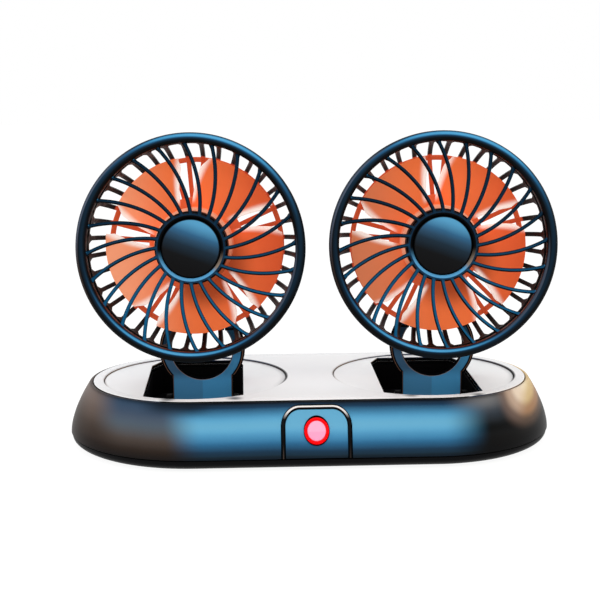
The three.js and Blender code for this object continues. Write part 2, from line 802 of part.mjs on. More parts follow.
// One swept rib: its angle grows steadily from the hub ring to the rim
function frontRib(start) {
  const inner = hubRingRadius - hubRingWall / 2;
  const outer = rimRadius - rimWidth + rootSink;
  const halfWidth = frontRibWidth / 2;
  const halfDepth = frontRibDepth / 2;
  const section = [
    [halfWidth, 0],
    [0, halfDepth],
    [-halfWidth, 0],
    [0, -halfDepth],
  ];
  const loops = [];
  for (let i = 0; i <= frontRibSteps; i += 1) {
    const share = i / frontRibSteps;
    const radius = inner + (outer - inner) * share;
    const angle = start + frontRibSweep * share;
    const lean = angle + Math.atan((frontRibSweep * radius) / (outer - inner));
    loops.push(
      section.map(
        ([across, along]) =>
          new THREE.Vector3(
            radius * Math.cos(angle) - across * Math.sin(lean),
            frontRibBack + along,
            radius * Math.sin(angle) + across * Math.cos(lean),
          ),
      ),
    );
  }
  return loft(loops);
}

function frontGuard() {
  const rim = solidOf(turnedAlongY(rimOutline(), rimSegments));
  const ringBack = hubRingBack + hubRingDepth;
  const hub = [
    [0, ringBack - hubPlateThickness],
    [hubRingRadius - hubRingWall, ringBack - hubPlateThickness],
    [hubRingRadius - hubRingWall, hubRingBack + hubRingWall / 2],
    [hubRingRadius - hubRingWall / 2, hubRingBack],
    [hubRingRadius, hubRingBack + hubRingWall / 2],
    [hubRingRadius, ringBack],
    [0, ringBack],
  ];
  const parts = [rim, solidOf(turnedAlongY(hub, hubSegments))];
  for (let i = 0; i < frontRibCount; i += 1) {
    parts.push(frontRib(frontRibTurn + (2 * Math.PI * i) / frontRibCount));
  }
  return joined(parts);
}

function hubCap() {
  const radius = hubRingRadius - hubRingWall - seatGap;
  const back = hubRingBack + hubRingDepth - hubPlateThickness - seatGap;
  const edge = back - capSkirt;
  const domeShares = [0, 0.45, 0.8, 1];
  const dome = domeShares.map((share) => [radius * share, edge - capDome * (1 - share * share)]);
  return solidOf(turnedAlongY([...dome, [radius, back], [0, back]], hubSegments));
}

// One fin of the rear guard, in its own radial plane: down the bowl's side, then in to the motor plate
function rearFin(angle) {
  const rimFace = rimDepth + seatGap + rootSink;
  const innerRadius = motorPlateRadius - rootSink;
  const front = rearGuardBack - rearGuardThickness;
  const outline = [
    [rimRadius - rimWall / 2, rimFace],
    [rearRingRadius - finSetback, rearGuardBack - finSetback],
    [innerRadius, rearGuardBack - finSetback],
    [innerRadius, front + finSetback],
    [rearRingRadius - rearRingWidth + finSetback, front + finSetback],
    [rimRadius - rimWidth + 2 * rootSink, rimFace],
  ];
  const shape = new THREE.Shape(outline.map(([radius, along]) => new THREE.Vector2(radius, along)));
  const geometry = new THREE.ExtrudeGeometry(shape, { depth: rearRibWidth, bevelEnabled: false });
  return solidOf(geometry.translate(0, 0, -rearRibWidth / 2).rotateY(-angle));
}

function rearGuard() {
  const front = rearGuardBack - rearGuardThickness;
  const rimFace = rimDepth + seatGap;
  const socketInner = motorRadius + seatGap;
  const socketOuter = socketInner + motorSocketWall;
  const socketFront = rearGuardBack - motorSocketDepth;
  const plate = [
    [socketInner, socketFront],
    [socketOuter, socketFront],
    [socketOuter, front],
    [motorPlateRadius, front],
    [motorPlateRadius, rearGuardBack],
    [socketInner, rearGuardBack],
    [socketInner, socketFront],
  ];
  const rim = tube(rimRadius - rimWidth, rimRadius - seatGap, rimFace, rimFace + rearRimDepth);
  const ring = tube(rearRingRadius - rearRingWidth, rearRingRadius, front, rearGuardBack);
  const parts = [
    solidOf(turnedAlongY(rim, rearSegments)),
    solidOf(turnedAlongY(ring, rearSegments)),
    solidOf(turnedAlongY(plate, rearSegments)),
  ];
  for (let i = 0; i < rearRibCount; i += 1) {
    parts.push(rearFin((2 * Math.PI * (i + 1 / 2)) / rearRibCount));
  }
  let guard = joined(parts);
  const holeFront = rearGuardBack + coverFlangeThickness - smallScrewLength;
  for (const side of [-1, 1]) {
    guard = guard.subtract(
      rodY(smallScrewRadius + seatGap, holeFront, rearGuardBack + cutOverrun,
        side * coverScrewRadius, 0, screwSegments),
    );
  }
  return guard;
}

// One broad blade: a sheet over radius and chord, sloping back along the chord, with an even thickness
function blade(start) {
  const radialSteps = 3;
  const chordSteps = 4;
  const root = bladeHubRadius - impellerCupWall / 2;
  const sheet = (shift) => {
    const rows = [];
    for (let i = 0; i <= radialSteps; i += 1) {
      const reach = i / radialSteps;
      const radius = root + (bladeTipRadius - root) * reach;
      const row = [];
      for (let j = 0; j <= chordSteps; j += 1) {
        const chord = j / chordSteps;
        const angle = start + bladeSpan * (chord - 1 / 2) + bladeSweep * reach;
        const slope = bladeDepth - bladeFlattening * reach;
        const along = bladeFrontBack + bladeDepth / 2 + slope * (chord - 1 / 2) + shift;
        row.push(new THREE.Vector3(radius * Math.cos(angle), along, radius * Math.sin(angle)));
      }
      rows.push(row);
    }
    return rows;
  };
  const front = sheet(-bladeThickness / 2);
  const back = sheet(bladeThickness / 2);
  const positions = [];
  const quad = (a, b, c, d) => {
    for (const point of [a, b, c, a, c, d]) positions.push(point.x, point.y, point.z);
  };
  for (let i = 0; i < radialSteps; i += 1) {
    for (let j = 0; j < chordSteps; j += 1) {
      quad(front[i][j], front[i][j + 1], front[i + 1][j + 1], front[i + 1][j]);
      quad(back[i][j], back[i + 1][j], back[i + 1][j + 1], back[i][j + 1]);
    }
    quad(front[i][0], front[i + 1][0], back[i + 1][0], back[i][0]);
    quad(front[i][chordSteps], back[i][chordSteps], back[i + 1][chordSteps], front[i + 1][chordSteps]);
  }
  for (let j = 0; j < chordSteps; j += 1) {
    quad(front[0][j], back[0][j], back[0][j + 1], front[0][j + 1]);
    quad(front[radialSteps][j], front[radialSteps][j + 1], back[radialSteps][j + 1], back[radialSteps][j]);
  }
  const geometry = new THREE.BufferGeometry();
  geometry.setAttribute("position", new THREE.Float32BufferAttribute(positions, 3));
  return solidOf(geometry);
}

function impeller() {
  const back = impellerFront + impellerCupDepth;
  const inner = bladeHubRadius - impellerCupWall;
  const shaftFront = impellerFront + shaftEndCover;
  const bossBack = impellerFront + impellerBossLength;
  const cup = [
    [0, impellerFront],
    [bladeHubRadius - impellerCupWall, impellerFront],
    [bladeHubRadius, impellerFront + impellerCupWall],
    [bladeHubRadius, back],
    [inner, back],
    [inner, impellerFront + impellerCupWall],
    [impellerBossRadius, impellerFront + impellerCupWall],
    [impellerBossRadius, bossBack],
    [shaftRadius + seatGap, bossBack],
    [shaftRadius + seatGap, shaftFront - seatGap],
    [0, shaftFront - seatGap],
  ];
  const parts = [solidOf(turnedAlongY(cup, motorSegments))];
  for (let i = 0; i < bladeCount; i += 1) {
    parts.push(blade(bladeTurn + (2 * Math.PI * i) / bladeCount));
  }
  return joined(parts);
}

const shaftBack = motorFront + shaftDepthInMotor;

function motorShaft() {
  return solidOf(turnedAlongY(rod(shaftRadius, impellerFront + shaftEndCover, shaftBack), smallSegments));
}

function motorCan() {
  const back = motorFront + motorLength;
  const bore = shaftRadius + seatGap;
  const outline = [
    [bore, motorFront - motorNoseLength],
    [motorNoseRadius, motorFront - motorNoseLength],
    [motorNoseRadius, motorFront],
    [motorRadius, motorFront],
    [motorRadius, back],
    [0, back],
    [0, shaftBack + seatGap],
    [bore, shaftBack + seatGap],
    [bore, motorFront - motorNoseLength],
  ];
  return solidOf(turnedAlongY(outline, motorSegments));
}

// The tilt pin's line seen from the head: behind and under its own origin at the crest's centre
const tiltPinInHead = new THREE.Vector3(0, headReach - forkSetback, tiltPinHeight - hubHeight);
tiltPinInHead.applyAxisAngle(new THREE.Vector3(1, 0, 0), restTilt);
const coverFront = rearGuardBack + seatGap;
const knuckleHalf = tiltEyeInner - runGap;

function motorCover() {
  const back = coverFront + coverDepth;
  const inner = coverRadius - coverWall;
  const shellOutline = [
    [inner, coverFront],
    [coverFlangeRadius, coverFront],
    [coverFlangeRadius, coverFront + coverFlangeThickness],
    [coverRadius, coverFront + coverFlangeThickness],
    [coverRadius, back - coverRound],
    [coverRadius - coverRound, back],
    [0, back],
    [0, back - coverWall],
    [inner, back - coverWall],
    [inner, coverFront],
  ];
  let cover = solidOf(turnedAlongY(shellOutline, motorSegments));
  const { y, z } = tiltPinInHead;
  const rootLow = -coverRadius + coverRound;
  const rootBack = back - rootSink;
  const rootFront = rootBack - bracketThickness;
  const arm = new THREE.Shape([
    new THREE.Vector2(rootFront, rootLow),
    new THREE.Vector2(rootFront, rootLow - bracketThickness),
    new THREE.Vector2(y - knuckleRadius, z + knuckleRadius / 2),
    new THREE.Vector2(y, z - knuckleRadius / 2),
    new THREE.Vector2(y + knuckleRadius / 2, z + knuckleRadius / 2),
    new THREE.Vector2(rootBack, rootLow),
  ]);
  const armGeometry = new THREE.ExtrudeGeometry(arm, { depth: bracketWidth, bevelEnabled: false });
  armGeometry.applyMatrix4(
    new THREE.Matrix4().makeBasis(
      new THREE.Vector3(0, 1, 0),
      new THREE.Vector3(0, 0, 1),
      new THREE.Vector3(1, 0, 0),
    ),
  );
  armGeometry.translate(-bracketWidth / 2, 0, 0);
  cover = cover.add(solidOf(armGeometry)).add(rodX(knuckleRadius, -knuckleHalf, knuckleHalf, y, z));
  for (const side of [-1, 1]) {
    cover = cover.subtract(
      rodY(smallScrewRadius + seatGap, coverFront - cutOverrun, back + cutOverrun,
        side * coverScrewRadius, 0, screwSegments),
    );
  }
  return cover.subtract(rodX(pinRadius + seatGap, -forkRingOuter, forkRingOuter, y, z));
}

// The base
const fan = new THREE.Group();
fan.add(pieceOf("base_upper_shell", baseUpperShell(), blueShellPaint));
fan.add(pieceOf("deck_plate", deckPlate(), paleDeckPlastic));
fan.add(pieceOf("base_bottom_shell", baseBottomShell(), blackPlastic));
fan.add(pieceOf("control_panel", controlPanel(), blueShellPaint));
fan.add(pieceOf("panel_trim", panelTrim(), blackPlastic));
fan.add(pieceOf("power_socket", powerSocket(), steel));

const buttonGroup = new THREE.Group();
buttonGroup.applyMatrix4(buttonFrame);
buttonGroup.add(pieceOf("button_bezel", buttonBezel(), redPlastic));
buttonGroup.add(pieceOf("power_button", powerButton(), pinkPlastic));
const plunger = rodY(plungerRadius, plungerFront, plungerFront + plungerLength, 0, 0);
buttonGroup.add(pieceOf("switch_plunger", plunger, blackPlastic));
buttonGroup.add(pieceOf("push_switch", switchBody(), blackPlastic));
buttonGroup.add(pieceOf("control_board", controlBoard(), boardGreen));
for (const [i, side] of [-1, 1].entries()) {
  const screw = pieceOf(
    ["board_screw_left", "board_screw_right"][i],
    screwSolid(smallScrewHeadRadius, smallScrewHeadThickness, smallScrewRadius, boardScrewLength),
    steel,
  );
  screw.rotation.x = Math.PI / 2;
  screw.position.set((side * boardPostSpacing) / 2, boardFront + boardThickness + seatGap, 0);
  buttonGroup.add(screw);
}
fan.add(buttonGroup);

for (const [i, corner] of corners.entries()) {
  const [footX, footY] = cornerPoint(corner, footCircle, footAngle);
  const foot = rodZ(footRadius, 0, bottomUnderside + footRecess - seatGap, footX, footY);
  fan.add(pieceOf("foot_" + cornerNames[i], foot, blackRubber));
  const [x, y] = cornerPoint(corner, postCircle, postAngle);
  const screw = pieceOf(
    "base_screw_" + cornerNames[i],
    screwSolid(screwHeadRadius, screwHeadThickness, screwRadius, bottomScrewLength),
    steel,
  );
  screw.position.set(x, y, bottomUnderside + screwHeadThickness);
  fan.add(screw);
}

// One fan: turntable, fork and head
function addFan(prefix, side) {
  const turntable = new THREE.Group();
  turntable.position.x = (side * fanSpacing) / 2;
  turntable.rotation.z = restYaw;
  turntable.add(pieceOf(prefix + "_turntable_disc", turntableDisc(), paleDeckPlastic));
  turntable.add(pieceOf(prefix + "_pivot_tub", pivotTub(), blackPlastic));
  for (const tab of [-1, 1]) {
    const screw = pieceOf(
      prefix + (tab < 0 ? "_tub_screw_outer" : "_tub_screw_inner"),
      screwSolid(smallScrewHeadRadius, smallScrewHeadThickness, smallScrewRadius, smallScrewLength),
      steel,
    );
    screw.position.set(tab * side * -1 * tabScrewX, 0, tabBottom - seatGap);
    turntable.add(screw);
  }
  const bushing = pieceOf(prefix + "_swivel_bushing", swivelBushing(), whiteAcetal);
  bushing.position.x = turntable.position.x;
  fan.add(bushing);

  const forkGroup = new THREE.Group();
  forkGroup.position.set(neckOffset, -forkSetback, 0);
  forkGroup.add(pieceOf(prefix + "_fork", fork(), blueShellPaint));
  const foldPin = rodX(pinRadius, -earOuter, earOuter, 0, foldPinHeight);
  const tiltPin = rodX(pinRadius, -tiltEyeOuter, tiltEyeOuter, 0, deckTop + tiltPinHeight);
  forkGroup.add(pieceOf(prefix + "_fold_pin", foldPin, steel));
  forkGroup.add(pieceOf(prefix + "_tilt_pin", tiltPin, steel));
  turntable.add(forkGroup);

  const head = new THREE.Group();
  head.position.set(neckOffset, -headReach, deckTop + hubHeight);
  head.rotation.x = -restTilt;
  head.add(pieceOf(prefix + "_front_guard", frontGuard(), guardPaint));
  head.add(pieceOf(prefix + "_hub_cap", hubCap(), guardPaint));
  head.add(pieceOf(prefix + "_rear_guard", rearGuard(), rearGuardPlastic));
  head.add(pieceOf(prefix + "_impeller", impeller(), orangePlastic));
  head.add(pieceOf(prefix + "_motor_shaft", motorShaft(), steel));
  head.add(pieceOf(prefix + "_motor", motorCan(), steel));
  head.add(pieceOf(prefix + "_motor_cover", motorCover(), blackPlastic));
  for (const screwSide of [-1, 1]) {
    const screw = pieceOf(
      prefix + (screwSide < 0 ? "_cover_screw_left" : "_cover_screw_right"),
      screwSolid(smallScrewHeadRadius, smallScrewHeadThickness, smallScrewRadius, smallScrewLength),
      steel,
    );
    screw.rotation.x = Math.PI / 2;
    screw.position.set(screwSide * coverScrewRadius, coverFront + coverFlangeThickness + seatGap, 0);
    head.add(screw);
  }
  turntable.add(head);
  fan.add(turntable);
}

addFan("left", -1);
addFan("right", 1);

export default fan;
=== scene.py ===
import bmesh
import bpy
import numpy as np
from mathutils import Matrix, Vector


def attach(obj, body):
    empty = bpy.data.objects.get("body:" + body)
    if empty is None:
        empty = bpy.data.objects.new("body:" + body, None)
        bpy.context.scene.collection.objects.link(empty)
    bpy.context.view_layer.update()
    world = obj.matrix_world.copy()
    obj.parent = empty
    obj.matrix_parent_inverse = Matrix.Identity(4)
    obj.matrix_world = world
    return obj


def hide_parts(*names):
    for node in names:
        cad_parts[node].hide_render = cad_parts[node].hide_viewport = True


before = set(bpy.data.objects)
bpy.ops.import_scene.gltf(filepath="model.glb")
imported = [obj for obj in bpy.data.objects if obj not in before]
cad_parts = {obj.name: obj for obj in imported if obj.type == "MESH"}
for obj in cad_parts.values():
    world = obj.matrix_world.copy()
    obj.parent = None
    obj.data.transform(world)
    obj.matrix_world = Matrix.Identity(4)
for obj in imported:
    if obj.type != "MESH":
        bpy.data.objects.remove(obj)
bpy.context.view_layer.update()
mm = 0.001
pi = np.pi
hands = (("left", -1), ("right", 1))


# Shapes


def gridShape(points, closeRows=False, closeColumns=False):
    # a rows x columns x 3 array becomes quads between neighbours; a closed direction joins its last line
    # to its first
    rows, columns = points.shape[:2]
    steps = np.arange(rows - (not closeRows)), np.arange(columns - (not closeColumns))
    i, j = np.meshgrid(*steps, indexing="ij")
    k, m = (i + 1) % rows, (j + 1) % columns
    quads = np.stack([i * columns + j, k * columns + j, k * columns + m, i * columns + m], -1).reshape(-1, 4)
    return points.reshape(-1, 3), [quads]


def capped(points):
    # a grid closed round its columns, with a flat face over its first and its last row
    rows, columns = points.shape[:2]
    vertices, faces = gridShape(points, closeColumns=True)
    first, last = np.arange(columns), (rows - 1) * columns + np.arange(columns)
    return vertices, faces + [first[None, ::-1], last[None, :]]


def joined(*shapes):
    # several vertex and face lists as one
    vertices, faces, start = [], [], 0
    for points, polygons in shapes:
        vertices.append(points)
        faces += [p + start for p in polygons]
        start += len(points)
    return np.concatenate(vertices), faces


def placed(shape, matrix):
    points, faces = shape
    m = np.array(matrix)
    return points @ m[:3, :3].T + m[:3, 3], faces


def shifted(shape, offset):
    return shape[0] + offset, shape[1]


def rounded(corners, radius, steps=4, closed=False):
    # each corner of an outline becomes a quadratic curve that starts and ends one radius before and after it
    corners = np.asarray(corners, float)
    count, out = len(corners), []
    share = np.linspace(0, 1, steps + 1)[:, None]
    for i, here in enumerate(corners):
        if not closed and i in (0, count - 1):
            out.append(here[None])
            continue
        before, after = corners[i - 1] - here, corners[(i + 1) % count] - here
        lengths = np.linalg.norm(before), np.linalg.norm(after)
        reach = min(radius, lengths[0] * 0.45, lengths[1] * 0.45)
        start, end = here + before / lengths[0] * reach, here + after / lengths[1] * reach
        out.append((1 - share) ** 2 * start + 2 * share * (1 - share) * here + share**2 * end)
    return np.concatenate(out)


def box(left, low, right, high, radius, steps=4):
    # a rectangle with rounded corners
    return rounded([[left, low], [right, low], [right, high], [left, high]], radius, steps, True)


def arc(radius, start, end, steps, x=0, y=0):
    angle = np.radians(np.linspace(start, end, steps))
    return np.stack([x + radius * np.cos(angle), y + radius * np.sin(angle)], -1)


def circle(radius, segments=96, x=0, y=0):
    angle = np.linspace(0, 2 * pi, segments, endpoint=False)
    return np.stack([x + radius * np.cos(angle), y + radius * np.sin(angle)], -1)


def turned(profile, segments=96, closed=False):
    # a profile of radius and place along Y, carried once round the Y axis
    profile = np.asarray(profile, float)
    angle = np.linspace(0, 2 * pi, segments, endpoint=False)
    radius, along = profile[:, 0][:, None], profile[:, 1][:, None]
    points = np.stack([radius * np.cos(angle), along + 0 * angle, radius * np.sin(angle)], -1)
    return gridShape(points, closeRows=closed, closeColumns=True)


def unitLength(vectors):
    return vectors / np.linalg.norm(vectors, axis=1)[:, None]


def swept(path, across, up, section):
    # a closed section carried along a path: its first number goes across, its second up
    if section.ndim == 2:
        section = np.broadcast_to(section, (len(path), *section.shape))
    points = path[:, None] + section[..., :1] * across[:, None] + section[..., 1:] * up[:, None]
    return capped(points)


def vertexPlaces(mesh):
    places = np.zeros(len(mesh.vertices) * 3)
    mesh.vertices.foreach_get("co", places)
    return places.reshape(-1, 3)


def slab(outlines, low, high, edge, steps=3):
    # flat outlines, holes among them, given a thickness along Z and rounded edges
    curve = bpy.data.curves.new("outline", "CURVE")
    curve.dimensions, curve.fill_mode = "2D", "BOTH"
    for loop in outlines:
        spline = curve.splines.new("POLY")
        spline.points.add(len(loop) - 1)
        spline.points.foreach_set("co", np.c_[loop, np.zeros(len(loop)), np.ones(len(loop))].ravel())
        spline.use_cyclic_u = True
    curve.extrude, curve.bevel_depth = (high - low) / 2 - edge, edge
    curve.bevel_resolution, curve.offset = steps, -edge
    carrier = bpy.data.objects.new("outline", curve)
    bpy.context.scene.collection.objects.link(carrier)
    bpy.context.view_layer.update()
    mesh = bpy.data.meshes.new_from_object(carrier.evaluated_get(bpy.context.evaluated_depsgraph_get()))
    points = vertexPlaces(mesh) + [0, 0, (low + high) / 2]
    polygons = [np.array([list(p.vertices)]) for p in mesh.polygons]
    bpy.data.objects.remove(carrier)
    bpy.data.curves.remove(curve)
    bpy.data.meshes.remove(mesh)
    return points, polygons


def smoothStep(low, high, value):
    share = np.clip((value - low) / (high - low), 0, 1)
    return share * share * (3 - 2 * share)


alongX = Matrix.Rotation(-pi / 2, 4, "Z")  # turns a shape made about Y so that it runs along X
alongZ = Matrix.Rotation(pi / 2, 4, "X")  # and so that it runs along Z


def sleeve(inner, outer, low, high, y, z):
    # a tube along X with rounded rims
    return shifted(placed(turned(box(inner, low, outer, high, 0.5), 48, True), alongX), [0, y, z])


def mark(mesh, name, values):
    # an attribute that gives every vertex one number or one vector
    kind, key = ("FLOAT", "value") if values.ndim == 1 else ("FLOAT_VECTOR", "vector")
    mesh.attributes.new(name, kind, "POINT").data.foreach_set(key, values.astype(np.float32).ravel())


def piece(name, shape, material, body, matrix=Matrix.Identity(4), sharp=32):
    # millimetres in the piece's own frame to a mesh in the object's frame, in the place of the node of its
    # name; the attribute "place" keeps the former
    points, faces = placed(shape, matrix)
    mesh = bpy.data.meshes.new(name + "_fine")
    sizes = np.concatenate([np.full(len(f), f.shape[1]) for f in faces])
    mesh.vertices.add(len(points))
    mesh.vertices.foreach_set("co", (points * mm).astype(np.float32).ravel())
    mesh.loops.add(int(sizes.sum()))
    mesh.loops.foreach_set("vertex_index", np.concatenate([f.ravel() for f in faces]).astype(np.int32))
    mesh.polygons.add(len(sizes))
    mesh.polygons.foreach_set("loop_start", np.concatenate([[0], np.cumsum(sizes)[:-1]]).astype(np.int32))
    mesh.polygons.foreach_set("loop_total", sizes.astype(np.int32))
    mesh.update(calc_edges=True)
    work = bmesh.new()
    work.from_mesh(mesh)
    bmesh.ops.remove_doubles(work, verts=work.verts, dist=2e-7)
    bmesh.ops.dissolve_degenerate(work, edges=work.edges, dist=1e-8)
    bmesh.ops.recalc_face_normals(work, faces=work.faces)
    work.to_mesh(mesh)
    work.free()
    mesh.shade_smooth()
    mesh.set_sharp_from_angle(angle=np.radians(sharp))
    mark(mesh, "place", placed((vertexPlaces(mesh) / mm, None), matrix.inverted())[0])
    mesh.materials.append(material)
    obj = bpy.data.objects.new(name + "_fine", mesh)
    bpy.context.scene.collection.objects.link(obj)
    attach(obj, body)
    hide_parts(name)
    return obj


# Shader maths


def shade(code):
    # a colour as a screen shows it, in hex, to the linear numbers that shaders take
    value = np.array([int(code[i:i + 2], 16) for i in (0, 2, 4)]) / 255
    return tuple(np.where(value <= 0.04045, value / 12.92, ((value + 0.055) / 1.055) ** 2.4).tolist())


class Field:
    # one output socket, with the sums that masks are written in
    def __init__(self, graph, socket):
        self.graph, self.socket = graph, socket

    def sum(self, operation, first, second):
        return self.graph.add("Math", {"operation": operation}, {0: first, 1: second})

    def __add__(self, other):
        return self.sum("ADD", self, other)

    def __sub__(self, other):
        return self.sum("SUBTRACT", self, other)

    def __mul__(self, other):
        return self.sum("MULTIPLY", self, other)

    def __truediv__(self, other):
        return self.sum("DIVIDE", self, other)

    def __pow__(self, other):
        return self.sum("POWER", self, other)

    def __rsub__(self, other):
        return self.sum("SUBTRACT", other, self)

    def __rtruediv__(self, other):
        return self.sum("DIVIDE", other, self)

    def __neg__(self):
        return 0 - self

    __radd__, __rmul__ = __add__, __mul__


class Finish:
    # a material under construction; its paint names its colours, and the two ends of each change between them
    def __init__(self, name, paint=None, **plain):
        self.paint = paint or {}
        self.material = bpy.data.materials.new(name)
        self.material.use_nodes = True
        self.tree = self.material.node_tree
        self.shader = self.tree.nodes["Principled BSDF"]
        for key, value in plain.items():
            self.shader.inputs[key.replace("_", " ")].default_value = value

    def fill(self, inputs, values):
        # links a field, and sets a number, a vector or a colour
        for key, value in values.items():
            if isinstance(value, Field):
                self.tree.links.new(value.socket, inputs[key])
            elif isinstance(value, str):
                inputs[key].default_value = (*shade(self.paint.get(value, value)), 1)
            else:
                inputs[key].default_value = value

    def __getitem__(self, name):
        return self.paint[name]

    def add(self, kind, settings=None, values=None, output=0):
        node = self.tree.nodes.new("ShaderNode" + kind)
        for key, value in (settings or {}).items():
            setattr(node, key, value)
        self.fill(node.inputs, values or {})
        return Field(self, node.outputs[output])

    def done(self, colour, uneven, glow=None):
        roughness = self.scaled(uneven, "roughness")
        self.fill(self.shader.inputs, {"Base Color": colour, "Roughness": roughness})
        if glow:
            self.fill(self.shader.inputs, {"Emission Color": glow})
        return self.material

    def parts(self, vector):
        node = self.add("SeparateXYZ", None, {0: vector}).socket.node
        return [Field(self, node.outputs[i]) for i in range(3)]

    def objectPlace(self):
        # millimetres in the object's frame
        return [axis * 1000 for axis in self.parts(self.add("TexCoord", output="Object"))]

    def ownPlace(self):
        # millimetres in the piece's own frame
        return self.parts(self.add("Attribute", {"attribute_name": "place"}, output="Vector"))

    def facing(self):
        # the surface's own direction in the object's frame
        return self.parts(self.add("TexCoord", output="Normal"))

    def marked(self, name):
        return self.add("Attribute", {"attribute_name": name}, output="Fac")

    def noise(self, scale, detail=3):
        # an uneven value from 0 to 1; the scale counts its waves in a metre
        values = {"Scale": scale, "Detail": detail, "Roughness": 0.55}
        return self.add("TexNoise", None, {"Vector": self.add("TexCoord", output="Object"), **values})

    def ramp(self, value, name, ease="LINEAR"):
        made, stops = self.add("ValToRGB", None, {0: value}), self[name]
        ramp = made.socket.node.color_ramp
        ramp.interpolation = ease
        while len(ramp.elements) < len(stops):
            ramp.elements.new(0.5)
        for element, (place, colour) in zip(ramp.elements, stops):
            element.position, element.color = place, (*shade(colour), 1)
        return made

    def between(self, value, low, high=None):
        # 0 up to the low value, 1 from the high one on, and a smooth step from one to the other
        low, high = self[low] if high is None else (low, high)
        return self.add("MapRange", {"interpolation_type": "SMOOTHSTEP"},
                        {"Value": value, "From Min": low, "From Max": high})

    def before(self, value, *ends):
        return 1 - self.between(value, *ends)

    def scaled(self, value, name):
        # a least value, and what a value from 0 to 1 adds to it
        least, added = self[name]
        return least + value * added

    def clear(self, value):
        # negative values become zero
        return self.add("Math", {"operation": "MAXIMUM"}, {0: value, 1: 0.0})

    def length(self, first, *others):
        # the root of the sum of the squares; of one value alone, its size without its sign
        return sum((value * value for value in others), first * first) ** 0.5

    def near(self, value, name):
        # 1 at a place, falling to 0 a reach away from it
        place, reach = self[name]
        return self.before(self.length(value - place), reach * 0.3, reach)

    def toward(self, direction, name):
        # how far a direction or a place lies along an aim
        first, second, third = (part * share for part, share in zip(direction, self[name]))
        return first + second + third

    def mix(self, share, first, second):
        return self.add("Mix", {"data_type": "RGBA", "blend_type": "MIX"}, {0: share, 6: first, 7: second}, 2)

    def bump(self, height, strength, distance):
        # relief of the surface, the distance in metres
        self.fill(self.shader.inputs, {"Normal": self.add(
            "Bump", None, {"Strength": strength, "Distance": distance, "Height": height})})


def flakes(m, strength=0.08):
    # the sparkle of metal flakes under the lacquer, as a fine uneven normal
    m.bump(m.noise(9000, 1), strength, 0.00003)


# Finishes of the guards, the cap and the fork

# the guards' dark blue lacquer, with light and shade painted on by the way each surface faces: black as
# painted shade where it faces away, one bright painted highlight band where it faces forward and up, and
# painted reflections, a slate patch where it faces up and to the left and a brown one where it faces left
lacquer = {
    "stops": [(0.0, "070809"), (0.02, "0a1620"), (0.1, "10283a"), (0.28, "20547a"), (0.55, "3e8ab6"),
              (1.0, "509cc8")],
    "toward": (0.09, -0.74, 0.667), "sharpness": 12, "unevenness": 0.04, "outerTurn": (-0.1, 0.3),
    "slate": "5c687c", "slateToward": (-0.72, -0.55, 0.42), "slateTurn": (0.86, 0.98),
    "slateShare": (0.45, 0.3), "side": "42342d", "sideToward": (-0.8, -0.6, 0), "sideTurn": (0.9, 1),
    "sideShare": 0.8,
    "rimShade": "08121a", "rimShadeTurn": (0.6, 0.95), "rimEdgeShare": 0.75, "roughness": (0.36, 0.1),
    "mouth": "522216", "mouthDrop": (14, 30), "mouthWidth": (0.15, 0.35), "mouthDepth": (1.6, 2.2),
    "mouthEdge": 0.5, "edge": "96806e", "warmGlintReach": (58, 66), "warmGlintWidth": (-0.35, -0.1),
    "warmGlintDepth": (1.8, 2.6), "edgeShare": 0.8,
    "ribHigh": "062438", "ribLow": "11547a", "ribShade": "050709", "ribToward": (0.4, 0, 1),
    "ribDrop": (-16, 34), "ribTurn": (-0.5, -0.1), "frontTurn": (0.2, 0.75),
    "hub": [(0.0, "163a56"), (1.0, "0e2a40")], "hubToward": (0.3, 0, 0.9), "hubRise": (-15.5, 8),
    "hubEdge": (15.7, 16), "dish": "5498c4", "dishEdge": (14.75, 15.05),
    "glint": "847466", "glintToward": (0.75, 0, 0.6), "glintRise": (0.5, 4),
    "gap": "030304", "dishShadeDrop": (0.5, 9), "skirtShadeDepth": (4.5, 4.7), "skirtShadeInside": (-17.2, -16.9),
}


